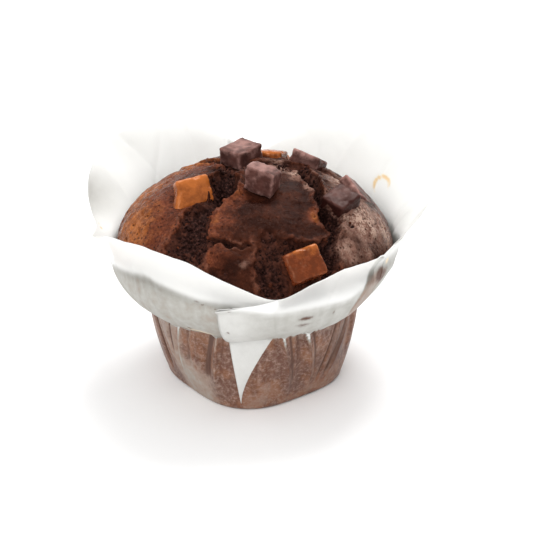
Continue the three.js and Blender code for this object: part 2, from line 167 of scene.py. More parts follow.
# Sharp pinches of the wall: azimuth at the crease and at their lower end, that end's height,
# half-width in millimetres, and height, below zero for a groove
PINCHES = (
    (-166.5, -159, 2, 0.9, -0.9),
    (-162, -154, 4, 0.8, 0.5),
    (-144, -147, 9, 0.7, -0.5),
    (-133, -142, 5, 0.5, 0.75),
    (-129, -133, 8, 0.6, -0.4),
    (-126, -129, 9, 0.45, 0.5),
    (-112.5, -122, 5, 1.5, -0.62),
    (-109.5, -114, 5, 0.5, 0.85),
    (-106, -110, 12, 0.5, -0.4),
    (-77, -71, 16, 0.4, 0.3),
    (-74.5, -67.5, 4, 0.45, 0.85),
    (-71, -64, 4, 0.6, -0.6),
    (-66, -60, 12, 0.5, -0.4),
    (-63.5, -58, 19, 0.4, 0.5),
    (-60.5, -51, 3, 0.45, 0.95),
    (-57, -48, 8, 0.6, -0.6),
    (-53, -45, 18, 0.5, 0.4),
    (-38, -46, 3, 0.55, -0.8),
    (-28, -40, 3, 0.8, -0.9),
    (-25, -36, 4, 0.7, 0.8),
    (-10, -14, 8, 0.6, 0.7),
    (-5, -8, 5, 0.7, -0.6),
    (13, 15, 3, 0.6, -0.8),
    (17, 18, 6, 0.5, 0.7),
    (31, 28, 7, 0.6, 0.6),
    (36, 34, 4, 0.6, -0.6),
    (51, 52, 5, 0.5, 0.8),
    (64, 61, 8, 0.6, -0.6),
    (108, 112, 5, 0.6, 0.7),
    (113, 117, 3, 0.7, -0.7),
    (127, 124, 6, 0.5, 0.8),
    (143, 139, 4, 0.6, -0.8),
    (149, 146, 9, 0.5, 0.6),
    (160, 162, 6, 0.6, 0.7),
    (169, 170, 10, 0.6, -0.5),
)

# Creases across the flare and the petals: azimuth and height at both ends, half-width, height
PETAL_CREASES = (
    (-129.5, 36.5, -136, 45.5, 0.55, 0.6),
    (-126, 37.5, -132.5, 45, 0.55, -0.5),
    (-134, 34, -142, 46, 0.6, 0.5),
    (-122, 36, -127, 45, 0.5, 0.35),
    (-150, 34, -160, 46, 0.8, -0.4),
    (-112, 33, -108, 42, 0.6, -0.4),
    (-62, 40, -56, 50, 0.9, -0.25),
    (-52, 31, -44.5, 40, 0.6, 0.35),
    (-43.5, 40, -37, 52, 0.6, 0.75),
    (8, 41, 9.5, 58, 1.1, -1.1),
    (15, 42, 13, 58, 0.8, 0.35),
    (36, 42, 30, 64, 0.8, 0.35),
    (60, 41, 44, 68, 0.9, -0.45),
    (70, 36, 62, 58, 0.7, 0.35),
    (99, 36, 104, 58, 0.7, -0.35),
    (112, 42, 118, 66, 0.8, -0.35),
    (125, 41, 143, 66, 0.9, 0.45),
    (136, 48, 128, 68, 0.7, 0.3),
    (150, 41, 152, 58, 0.9, -0.4),
    (18, 30, 24, 42, 0.6, 0.45),
    (48, 30, 52, 42, 0.6, 0.45),
    (122, 30, 118, 42, 0.6, 0.45),
    (145, 30, 150, 41, 0.6, 0.4),
)
# Where the bright upper part of the case turns under, with painted shade below it: azimuth and height
TURN_LINE = (
    (-180, 41),
    (-163, 42),
    (-135, 47),
    (-125, 46),
    (-110, 44),
    (-99, 43.6),
    (-84, 41),
    (-69, 41.5),
    (-51, 41),
    (-40, 44),
    (60, 44),
    (120, 45),
    (180, 41),
)
# How strong the painted shade is below that line: azimuth and strength
TURN_SHADE = (
    (-180, 0.45),
    (-105, 0.46),
    (-96, 0.4),
    (-50, 0.4),
    (-42, 0.22),
    (-20, 0.22),
    (0, 0.4),
    (180, 0.42),
)
# Where the painted shade on the far side of the right-hand fold begins: height and azimuth
RIGHT_FOLD = (
    (27, -50),
    (36, -50),
    (43.6, -43.5),
    (50.6, -41.5),
    (56, -32),
)
# Radius of the paper's outside at some heights, to measure marks in millimetres
MARK_HEIGHTS = (27, 33, 40, 50, 62)
MARK_RADII = (31.5, 39, 43.5, 46, 52)

# Fat marks on the paper: azimuth, height, half-length, half-height, strength
FAT_SPOTS = (
    (-122.5, 29.6, 3.0, 1.3, 0.75),
    (-115.0, 29.3, 3.4, 1.2, 0.65),
    (-118.5, 31.6, 1.0, 0.8, 0.8),
    (-98.5, 42.2, 0.5, 0.5, 0.8),
    (-111.6, 43.2, 1.2, 0.45, 0.55),
    (-109.2, 42.3, 0.8, 0.5, 0.6),
    (-106.2, 42.0, 0.9, 0.4, 0.6),
    (-104.4, 41.6, 0.6, 0.4, 0.5),
    (-100.0, 33.8, 0.8, 0.7, 0.6),
    (-70.2, 37.9, 2.9, 0.8, 0.85),
    (-70.7, 35.0, 3.4, 0.8, 0.8),
    (-64.0, 36.9, 0.5, 0.4, 0.7),
    (-58.5, 37.9, 0.5, 0.5, 0.7),
    (-33.0, 43.6, 3.0, 3.2, 1.0),
    (-30.0, 41.0, 2.6, 2.2, 0.8),
    (120.0, 34.0, 1.6, 1.0, 0.7),
    (70.0, 36.0, 2.0, 1.0, 0.6),
    (30.0, 33.0, 1.2, 0.9, 0.7),
    (150.0, 38.0, 1.8, 0.9, 0.6),
    (-30.0, 16.0, 10.0, 15.0, 0.62),
    (-29.5, 43.0, 3.4, 2.6, 0.6),
    (-48.0, 12.0, 6.0, 9.0, 0.3),
)
# Orange smears, as above
GOLD_SPOTS = (
    (-27.5, 46.4, 1.6, 1.5, 0.6),
    (174.0, 45.7, 0.7, 0.6, 0.7),
    (172.4, 46.6, 0.4, 0.4, 0.6),
    (-115.0, 30.4, 6.5, 1.6, 0.42),
    (96.0, 47.0, 1.2, 0.8, 0.5),
)
# Golden rings where a chunk lay against the paper: azimuth, height, radius, strength
GREASE_RINGS = (
    (30.0, 52.2, 3.2, 1.0),
    (112.0, 52.0, 2.6, 0.5),
)
# Grey patches, partly dirt and partly painted shade: azimuth, height, half-length, half-height, strength
GREY_PATCHES = (
    (-109.0, 41.6, 6.5, 2.0, 0.34),
    (-70.0, 36.4, 6.5, 3.0, 0.26),
    (-31.0, 40.5, 7.0, 6.0, 0.16),
    (-128.0, 32.0, 9.0, 4.0, 0.2),
    (126.0, 36.0, 8.0, 3.5, 0.25),
    (45.0, 34.0, 9.0, 4.0, 0.25),
    (163.0, 53.0, 14.0, 10.0, 0.28),
    (140.0, 64.0, 12.0, 8.0, 0.12),
    (-2.0, 54.0, 6.0, 6.0, 0.16),
    (9.0, 48.0, 9.0, 8.0, 0.13),
)

# Splits of the crust: points in plan, half-width and depth at each
SPLITS = (
    (
        (-4, 5, 2, 1.6), (-7.5, -2, 3.4, 4), (-8.7, -7, 3.9, 8), (-9, -12.4, 3.5, 6.4),
        (-11.6, -17, 3.2, 3.4), (-15.6, -19.6, 4, 3), (-16.9, -23.3, 4.4, 3), (-17.4, -26.4, 5, 3),
        (-19, -29.2, 6, 2.8), (-21, -33, 6.5, 2),
    ),
    (
        (14.2, 4.5, 2.6, 2.6), (15.9, -1.2, 3, 4.4), (17.1, -6.1, 2.2, 5), (18.7, -9.3, 2.2, 5),
        (19.2, -14.6, 2.4, 5), (21.6, -18.2, 3.8, 5.2), (22.7, -21.7, 2.8, 4.2), (22.4, -25, 1.4, 3),
        (22.2, -27.5, 1.3, 2.6), (21.2, -30, 3, 2.8), (21.5, -33, 2.8, 2.4), (20, -37, 3, 2),
    ),
    ((-12.6, -30.5, 1.2, 1.8), (-8.2, -31.6, 1.4, 2.6), (-4.8, -32.7, 0.9, 1.5), (-1, -33.4, 0.6, 0.5)),
    ((4.4, -33.4, 3.6, 1.3), (4.4, -36.5, 4, 2.2), (4.6, -39, 4.2, 2.4), (6, -42, 5, 1.6)),
    ((4.4, -33.2, 1.6, 1.2), (12, -33, 2.4, 2.2), (20, -30.5, 2.6, 2.4)),
    ((-4.4, 5.4, 4.4, 2.9), (1, 4, 4, 1.6), (6, 2.6, 4, 1.3), (10, 4, 4, 1.5), (14, 7, 3, 1.8)),
    ((10, 14, 2, 1.8), (13, 22, 2.6, 3.2), (12, 31, 2.6, 3), (16, 38, 2, 1.6)),
    ((-4, 5, 2, 2.2), (-13, 12, 2.4, 2.8), (-19, 20, 2.8, 3.4), (-22, 31, 2.2, 2)),
    ((30, 1, 3, 1.2), (26, 7, 2, 1), (17, 12, 2.4, 1.4)),
)
# Rough places where the skin is broken: centre in plan, radius, depth
SCRAPES = (
    (-9, 2, 6.5, 1.6),
    (-19, -12, 5, 1.4),
    (-9, -38.5, 5, 0.9),
    (24, -16, 4, 1.6),
    (27.5, -17, 3.4, 1.2),
    (27, -9, 3.5, 1.0),
    (2, -8, 4.5, 0.8),
    (13.9, -36, 6, 1.6),
    (5, 21, 6.5, 1.4),
    (-12.6, 34, 6.5, 1.5),
    (7, 33.5, 6.5, 1.5),
    (16.4, 15.4, 6, 1.2),
)
# Where the splits end without a raised lip: centre in plan, radius, strength
CALM = (
    (4.0, -29.5, 9.5, 1.0),
    (-15.5, -12.5, 6.0, 1.0),
)
# Hollows pressed round the chunks: centre in plan, radius, depth
HOLLOWS = (
    (-14.8, -12.6, 5.5, 2.6),
    (1.4, -15.6, 6.5, 2.3),
    (-5, 8, 8, 1.4),
    (-20, -12.5, 7.5, 2.0),
    (29, -4, 5, 0.8),
)
# Swellings of the crust: centre in plan, radius, height
SWELLINGS = (
    (2, -25, 14, 1.3),
    (-28, -8, 16, 0.9),
    (31, -8, 13, 0.9),
    (-9, -34.8, 5.8, 1.7),
    (-2.6, -37.4, 3.4, 1.0),
    (11, -14, 6, 0.8),
    (20, 26, 14, 0.8),
    (-8, 26, 12, 0.8),
)
# Colour of the crust: centre in plan, radius and strength of orange toasting, and of a dry grey bloom,
# which on the island's top is a painted sheen
TOASTED = (
    (-36, -12, 26, 0.95),
    (-34, 6, 26, 0.85),
    (-20, 14, 18, 0.75),
    (-9.5, -26, 9, 0.38),
    (-7, -20, 7, 0.38),
    (-4.5, -15, 6, 0.36),
    (-10.5, -35, 6, 0.34),
    (17, -22, 3.5, 0.6),
    (3, 21, 8, 0.7),
    (20, 26, 14, 0.5),
    (-12, 32, 16, 0.7),
)
BLOOMED = (
    (32, -13, 17, 1.0),
    (27, -27, 8, 0.7),
    (37, -22, 11, 0.62),
    (32, -23, 8, 0.72),
    (27, 4, 13, 0.8),
    (39, -8, 15, 0.95),
    (39, 8, 13, 0.7),
    # These three give the island's top a painted sheen.
    (8, 3.5, 8, 0.85),
    (13, -2.5, 5.5, 0.9),
    (15.5, -9, 3.5, 0.5),
    (28, 22, 16, 0.7),
    (-3, -37.4, 3, 0.5),
    (12, 36, 14, 0.5),
)

# How finely the pieces are divided
CAKE_FIRST_CUTS = 11
CAKE_SECOND_CUTS = 9
CHUNK_CUTS = 21
DOME_SHARE = 122.0  # degrees of the starting ball that become the dome
SHEET_COLUMNS = 640
PLEAT_COLUMNS = 26
SEED = 7
WALL_ROWS = 24
HUG_ROWS = 15
PETAL_ROWS = 24

# The cake: where its relief fades at the dome's edge, in degrees, how steep a slope still counts,
# how high the lips of the splits stand and how far they lean, and how wide the splits' flat floors are
EDGE_FADE = 10.8
STEEPEST = 60
LIP_HEIGHT = 0.2
LIP_LEAN = 0.42
SPLIT_FLOOR = 0.37
# The hidden rest of the cake, as shares of what lies below the dome: where its underside ends and
# where its foot begins, then how far up the paper the underside starts, and the foot's height
UNDERSIDE_END = 0.3
FOOT_START = 0.62
UNDERSIDE_REACH = 0.92
CAKE_FOOT_Z = 0.75

# The sheet's foot: height of the sheet's middle, shares of its radius and turns of its rounded edge
SHEET_FOOT_Z = 0.14
FOOT_SHARES = (0.0, 0.3, 0.6, 0.85)
FOOT_TURNS = (0.0, 22.5, 45.0, 67.5)
# The wall is soaked up to this height, and the rolled sheet's ends are merged within this distance.
SOAK_TOP = TIN_DEPTH - 0.25
MERGE_DISTANCE = 0.02
# Share of the light that the paper lets through, low down and in the free petals
PAPER_GLOW = 0.1
PETAL_GLOW = 0.62

# The cut blocks: the solids' chamfers cut more off the corners than the real blocks' wear does
CORNER_ALLOWANCE = 1.09
CHOCOLATE_BEVEL = 0.6
CARAMEL_BEVEL = 0.95
CARAMEL_WEAR = 0.9  # as a share of the chocolate's wear
CARAMEL_SAG = 0.35
# How pale and rubbed each block is
CHOCOLATE_BLOOM = {
    "chocolate_chunk_1": 0.32,
    "chocolate_chunk_2": 0.36,
    "chocolate_chunk_3": -0.7,
    "chocolate_chunk_4": 0.28,
    "chocolate_chunk_5": 0.2,
    "chocolate_chunk_6": 0.2,
}
CARAMEL_DRYNESS = {
    "caramel_chunk_1": 0.0,
    "caramel_chunk_2": 0.7,
    "caramel_chunk_3": 0.35,
    "caramel_chunk_4": 0.2,
}
# Where caramel has melted and run: from, reach, and how far it has run
CARAMEL_RUNS = {
    "caramel_chunk_2": (((-22.4, -13.2, 60.4), 4.6, (-2.4, -1.9, -2.6)),),
}

# Loose crumbs: where they lie, by the cake's own crumb and height, and their least size and range
CRUMB_SHARE = 0.55
CRUMB_LOWEST = 43
CRUMB_LEAST = 0.28
CRUMB_RANGE = 0.5
TOASTED_CRUMBS = 0.03  # share of the crumbs that come from the crust

# Colours that the finishes mix with those of the panel
CRUST_BROWN = (0.042, 0.0115, 0.006)
CRUST_SPECK = (0.13, 0.043, 0.027)
TOAST_BROWN = (0.19, 0.056, 0.017)
TOAST_SPECK = (0.50, 0.20, 0.075)
BETWEEN_DARK = (0.085, 0.0225, 0.0115)
BETWEEN_LIGHT = (0.165, 0.045, 0.021)
# Dusty browns of the dry lobe, also the island's painted sheen
DUSTY_DARK = (0.085, 0.036, 0.025)
DUSTY_LIGHT = (0.19, 0.098, 0.073)
PORE = (0.025, 0.007, 0.004)
CRUMB_DARK = (0.034, 0.0115, 0.008)
CRUMB_LIGHT = (0.072, 0.025, 0.0165)
# Powder on the shallow crumb, partly a painted sheen
CRUMB_POWDER = (0.28, 0.17, 0.135)
# Lighter grains in the dark crumb, partly painted glints
CRUMB_GRAIN = (0.085, 0.034, 0.027)
# Greys of the paper: mostly painted shade where it turns under and beyond the right-hand fold, also grey dirt
# and the wall's lighter parts
PAPER_GREY = (0.37, 0.36, 0.325)
PAPER_WARM_GREY = (0.37, 0.285, 0.235)
SOAKED_LIGHT = (0.24, 0.10, 0.05)
SOAKED_STREAK = (0.105, 0.042, 0.027)
FAT_VEIL = (0.37, 0.25, 0.20)
FAT_CLOUD = (0.34, 0.25, 0.21)
GOLDEN = (0.90, 0.75, 0.52)
# Brown of the fat spots, also painted shade in the wall's grooves
FAT_SPOT = (0.12, 0.06, 0.042)
CHOCOLATE_LIGHT = (0.078, 0.03, 0.024)
CHOCOLATE_DARK = (0.030, 0.0085, 0.0065)
# Pale rubbed chocolate, also a painted sheen on the top faces
CHOCOLATE_RUBBED = (0.40, 0.22, 0.19)
CARAMEL_LIGHT = (0.145, 0.0285, 0.008)
# Dry caramel, also a painted sheen on the top faces
CARAMEL_DRY = (0.40, 0.112, 0.024)
CARAMEL_STREAK = (0.12, 0.033, 0.011)

# The stage, in metres: floor, the point that is looked at, and the lights' places and sizes
FLOOR_SIZE = 6
AIM = (0, 0, 0.035)
KEY_PLACE = (-0.26, -0.66, 0.62)
KEY_SIZE = 0.5
BACK_PLACE = (0.12, 0.32, 0.78)
BACK_SIZE = 0.4
SENSOR_WIDTH = 36
# The photograph's middle is 15.8 pixels right of the muffin's axis and 3.5 below the aim, out of 540.
SHIFT_X = 15.8 / 540
SHIFT_Y = -3.5 / 540


def fall(distance):
    """1 in the middle, falling smoothly to 0 at distance 1."""
    d = np.clip(distance, 0, 1)
    return 1 - d * d * (3 - 2 * d)


def rise(value, low, high):
    """0 below low, rising smoothly to 1 at high."""
    return 1 - fall((np.asarray(value, float) - low) / (high - low))


def mix(a, b, t):
    return a + (b - a) * t


def apart(a, b):
    """Angle between two azimuths in degrees."""
    return np.abs((a - b + 180) % 360 - 180)


def along_circle(azimuth, at, radius):
    """Distance in millimetres round a circle from one azimuth to another."""
    return np.radians((azimuth - at + 180) % 360 - 180) * radius


def on_circle(radius, azimuth, z):
    """Points at a radius, azimuth and height, as rows of x, y, z."""
    turn = np.radians(azimuth)
    return np.stack(np.broadcast_arrays(radius * np.cos(turn), radius * np.sin(turn), z), axis=-1)


def noise_at(points, size, seed=0):
    """Smooth noise of about -1 to 1 whose lumps are of the given size."""
    shift = Vector((17.3 * seed, -9.1 * seed, 5.7 * seed))
    return np.array([noise.noise(Vector(p) / size + shift) for p in points])


def cells_at(points, size, seed=0):
    """Distance to the nearest of scattered seeds, in units of size."""
    shift = Vector((11.9 * seed, 7.7 * seed, -13.1 * seed))
    return np.array([noise.voronoi(Vector(p) / size + shift)[0][0] for p in points])


# Shape of the case


def wall_radius(azimuth, z):
    """Inside radius of the wall below the crease."""
    up = np.clip(z / TIN_DEPTH, 0, 1)
    circle = mix(FOOT_RADIUS, CREASE_RADIUS, 1 - (1 - up) ** WALL_CURVE)
    square = SQUARENESS * (1 - 0.8 * up) * np.cos(np.radians(4 * (azimuth - SQUARE_CORNER)))
    ruck = 0
    for top, foot, width, height in RUCKS:
        ruck = ruck + height * fall(apart(azimuth, mix(foot, top, up)) / width)
    return circle * (1 + square) + ruck * (1 - fall((up - 0.08) / 0.5))


def rim_at(azimuth):
    """Radius and height of the rim, on a smooth closed curve through the points of RIM."""
    points = np.array(RIM, float)
    turn = points[:, 0] - points[0, 0]
    around = np.concatenate([turn[-2:] - 360, turn, turn[:2] + 360])
    values = np.concatenate([points[-2:, 1:], points[:, 1:], points[:2, 1:]])
    slopes = (values[2:] - values[:-2]) / (around[2:] - around[:-2])[:, None]
    at = (np.asarray(azimuth, float) - points[0, 0]) % 360
    k = np.searchsorted(around, at, side="right") - 1
    span = (around[k + 1] - around[k])[..., None]
    t = (at - around[k])[..., None] / span
    start = 2 * t**3 - 3 * t**2 + 1
    made = start * values[k] + (1 - start) * values[k + 1]
    made += span * ((t**3 - 2 * t**2 + t) * slopes[k - 1] + (t**3 - t**2) * slopes[k])
    return made[..., 0], made[..., 1]


def bezier(p0, p1, p2, p3, t):
    s = 1 - t
    return s**3 * p0 + 3 * s * s * t * p1 + 3 * s * t * t * p2 + t**3 * p3


def pressed(azimuth, z):
    """How far the case is pressed in round the right-hand fold."""
    return fall(apart(azimuth, PRESS_AT) / PRESS_WIDTH) * np.interp(z, *zip(*PRESS))


def hug_path(azimuth, t):
    """Radius and height of the paper under the dome, from the crease at t 0 to the shoulder at t 1."""
    r = bezier(wall_radius(azimuth, TIN_DEPTH), HUG_OUT[0], HUG_UP[0], SHOULDER[0], t)
    z = bezier(TIN_DEPTH, HUG_OUT[1], HUG_UP[1], SHOULDER[1], t)
    return r - pressed(azimuth, z), z


def petal_path(azimuth, rim_r, rim_z, t):
    """Radius and height of a free petal, from the shoulder to the rim."""
    length = np.hypot(rim_r - SHOULDER[0], rim_z - SHOULDER[1])
    r = bezier(SHOULDER[0], SHOULDER[0] + 0.04 * length, rim_r - 0.2 * length, rim_r, t)
    z = bezier(SHOULDER[1], SHOULDER[1] + 0.36 * length, rim_z - 0.28 * length, rim_z, t)
    return r - pressed(azimuth, z), z


def case_section(azimuth, rim_r, rim_z, first_z):
    """Rows of radius and of height up the inside of the case at each azimuth, from first_z to the rim."""
    rows = []
    for i in range(WALL_ROWS):
        z = mix(first_z, TIN_DEPTH, i / WALL_ROWS)
        rows.append((wall_radius(azimuth, z), z))
    rows += [hug_path(azimuth, i / HUG_ROWS) for i in range(HUG_ROWS)]
    rows += [petal_path(azimuth, rim_r, rim_z, i / PETAL_ROWS) for i in range(PETAL_ROWS + 1)]
    shape = np.shape(azimuth)
    return [np.array([np.broadcast_to(row[part], shape) for row in rows]) for part in (0, 1)]


def lift_off(r, z, lift):
    """Rows moved outwards along the section's own normal."""
    dr, dz = np.gradient(r, axis=0), np.gradient(z, axis=0)
    length = np.hypot(dr, dz)
    return r + lift * dz / length, z - lift * dr / length


def line_distance(azimuth, z, radius, line_azimuth, tilt):
    """Distance in millimetres from a line that leans by tilt degrees for each millimetre of height."""
    sideways = along_circle(azimuth, line_azimuth, radius)
    return np.abs(sideways) / np.sqrt(1 + (np.radians(tilt) * radius) ** 2)


def pinch_lift(azimuth, r, z):
    """Height of the sharp pinches of the wall, which run on a little into the flare."""
    lift = np.zeros_like(r)
    for top, low, low_z, width, height in PINCHES:
        tilt = (top - low) / (TIN_DEPTH - low_z)
        line = top + tilt * (z - TIN_DEPTH)
        distance = line_distance(azimuth, z, r, line, tilt)
        along = rise(z, low_z, low_z + 9) * fall((z - TIN_DEPTH) / 3.5)
        lift += height * fall(distance / (2.1 * width)) ** 1.5 * along
    return lift


def petal_crease_lift(azimuth, r, z):
    """Height of the creases across the flare and the petals."""
    lift = np.zeros_like(r)
    for az_low, low, az_high, high, width, height in PETAL_CREASES:
        t = np.clip((z - low) / (high - low), 0, 1)
        sideways = along_circle(azimuth, mix(az_low, az_high, t), r)
        along = rise(z, low - 3, low + 2) * fall((z - high) / 4)
        lift += height * np.exp(-np.abs(sideways) / width) * along
    return lift


def underside(azimuth, z):
    """How strong the painted shade is below the line where the paper turns under, and beyond the right-hand
    fold.
    """
    line, shade = (np.interp(azimuth, *zip(*points)) for points in (TURN_LINE, TURN_SHADE))
    grey = shade * rise(line - z, -1.6, 1.8)
    fold = np.interp(z, *zip(*RIGHT_FOLD))
    beyond = rise(azimuth - fold, -0.5, 1.5) * fall((azimuth - fold - 20) / 22)
    return np.maximum(grey, mix(0.6, 0.15, rise(z, 43, 50)) * beyond * (z > TIN_DEPTH))


def oval(azimuth, z, radius, spot):
    """1 in the middle of an oval spot, falling to 0 at its edge."""
    at, height, length, tall = spot
    return fall(np.hypot(along_circle(azimuth, at, radius) / length, (z - height) / tall) / 1.35)


def strongest(azimuth, z, radius, spots):
    """The strongest of a set of oval spots at each place on the paper."""
    made = np.zeros_like(z)
    for *spot, strength in spots:
        made = np.maximum(made, strength * oval(azimuth, z, radius, spot))
    return made


def paper_marks(azimuth, z):
    """Strength of the paper's brown fat spots, its golden rings and smears, and its grey patches of dirt and
    painted shade.
    """
    radius = np.interp(z, MARK_HEIGHTS, MARK_RADII)
    gold = strongest(azimuth, z, radius, GOLD_SPOTS)
    for at, height, size, strength in GREASE_RINGS:
        sideways = along_circle(azimuth, at, radius)
        distance = np.hypot(sideways, 1.15 * (z - height))
        open_below = rise(0.5 * sideways + z - height, -1.2 * size, 0.8 * size)
        ring = fall(np.abs(distance - size) / 1.2) * open_below
        gold = np.maximum(gold, 0.66 * strength * ring)
    return strongest(azimuth, z, radius, FAT_SPOTS), gold, strongest(azimuth, z, radius, GREY_PATCHES)


def groove_marks(stand, height):
    """Painted shade in the grooves of the wall: how dark they are."""
    return 0.75 * rise(-stand, 0.15, 0.55) * (height < TIN_DEPTH)


# Shape of the cake


def dome_z(radius):
    share = np.clip(radius / DOME_RADIUS, 0, 1)
    return DOME_EQUATOR_Z + DOME_RISE * np.sqrt(np.maximum(0, 1 - share**DOME_POWER))


CRUST_R = DOME_RADIUS * np.sin(np.linspace(0, math.pi / 2, 600))
CRUST_LENGTH = np.concatenate([[0], np.cumsum(np.hypot(np.diff(CRUST_R), np.diff(dome_z(CRUST_R))))])


def on_crust(x, y):
    """Plan coordinates spread out to true distances along the crust."""
    r = math.hypot(x, y)
    return np.array((x, y)) / r * np.interp(r, CRUST_R, CRUST_LENGTH)


def patches(place, spots):
    """The strongest of a set of round patches at each place on the crust."""
    made = np.zeros(len(place))
    for x, y, radius, strength in spots:
        distance = np.linalg.norm(place - on_crust(x, y), axis=1)
        made = np.maximum(made, strength * fall(distance / radius))
    return made


def splits(place):
    """Depth of the splits, height of the lips along them and the way towards their middle."""
    depth = np.zeros(len(place))
    lip = np.zeros(len(place))
    towards = np.zeros((len(place), 2))
    for points in SPLITS:
        nearest = np.full(len(place), np.inf)
        own_depth = np.zeros(len(place))
        own_way = np.zeros((len(place), 2))
        for (x0, y0, w0, d0), (x1, y1, w1, d1) in zip(points, points[1:]):
            a, b = on_crust(x0, y0), on_crust(x1, y1)
            along = b - a
            t = np.clip((place - a) @ along / (along @ along), 0, 1)
            way = a + t[:, None] * along - place
            distance = np.linalg.norm(way, axis=1)
            ratio = distance / mix(w0, w1, t)
            closer = ratio < nearest
            nearest[closer] = ratio[closer]
            own_depth[closer] = mix(d0, d1, t)[closer]
            own_way[closer] = (way / np.maximum(distance, 1e-6)[:, None])[closer]
        own = own_depth * fall(nearest - SPLIT_FLOOR) ** 1.3
        own_lip = own_depth * fall(np.abs(nearest - 1.3) / 0.45)
        deeper = own > depth
        depth[deeper] = own[deeper]
        stronger = own_lip > lip
        lip[stronger] = own_lip[stronger]
        towards[stronger] = own_way[stronger]
    return depth, np.where(depth > 0.35, 0, lip), towards


# Meshes


def select_only(piece):
    bpy.ops.object.select_all(action="DESELECT")
    piece.select_set(True)
    bpy.context.view_layer.objects.active = piece


FACE_OUTWARDS = (bpy.ops.mesh.normals_make_consistent, dict(inside=False))


def in_edit_mode(piece, *steps):
    """Runs edit-mode operators, each with its settings, on all of a piece."""
    select_only(piece)
    bpy.ops.object.mode_set(mode="EDIT")
    for operator, options in steps:
        bpy.ops.mesh.select_all(action="SELECT")
        operator(**options)
    bpy.ops.object.mode_set(mode="OBJECT")


def read_points(piece):
    points = np.empty(len(piece.data.vertices) * 3)
    piece.data.vertices.foreach_get("co", points)
    return points.reshape(-1, 3)


def write_points(piece, points):
    """Sets the piece's points, given in millimetres."""
    piece.data.vertices.foreach_set("co", (np.asarray(points) * MM).ravel())
    piece.data.update()


def write_fields(piece, **fields):
    """Stores numbers for each point, for the piece's material."""
    for name, values in fields.items():
        field = piece.data.attributes.get(name) or piece.data.attributes.new(name, "FLOAT", "POINT")
        field.data.foreach_set("value", np.asarray(values, np.float32))


def thicken(piece, thickness):
    """Gives a sheet its thickness, half of it to each side."""
    select_only(piece)
    modifier = piece.modifiers.new("Thickness", "SOLIDIFY")
    modifier.thickness = thickness
    modifier.offset = 0.0
    bpy.ops.object.modifier_apply(modifier=modifier.name)


def finish_piece(piece, name, material, nodes=()):
    """Names a piece, smooths it, gives it its finish and hangs it on the frame."""
    piece.name = name
    piece.data.name = name
    piece.data.materials.clear()
    piece.data.materials.append(material)
    select_only(piece)
    bpy.ops.object.shade_smooth()
    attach(piece, BODY)
    if nodes:
        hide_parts(*nodes)
    bpy.ops.object.select_all(action="DESELECT")


# Materials


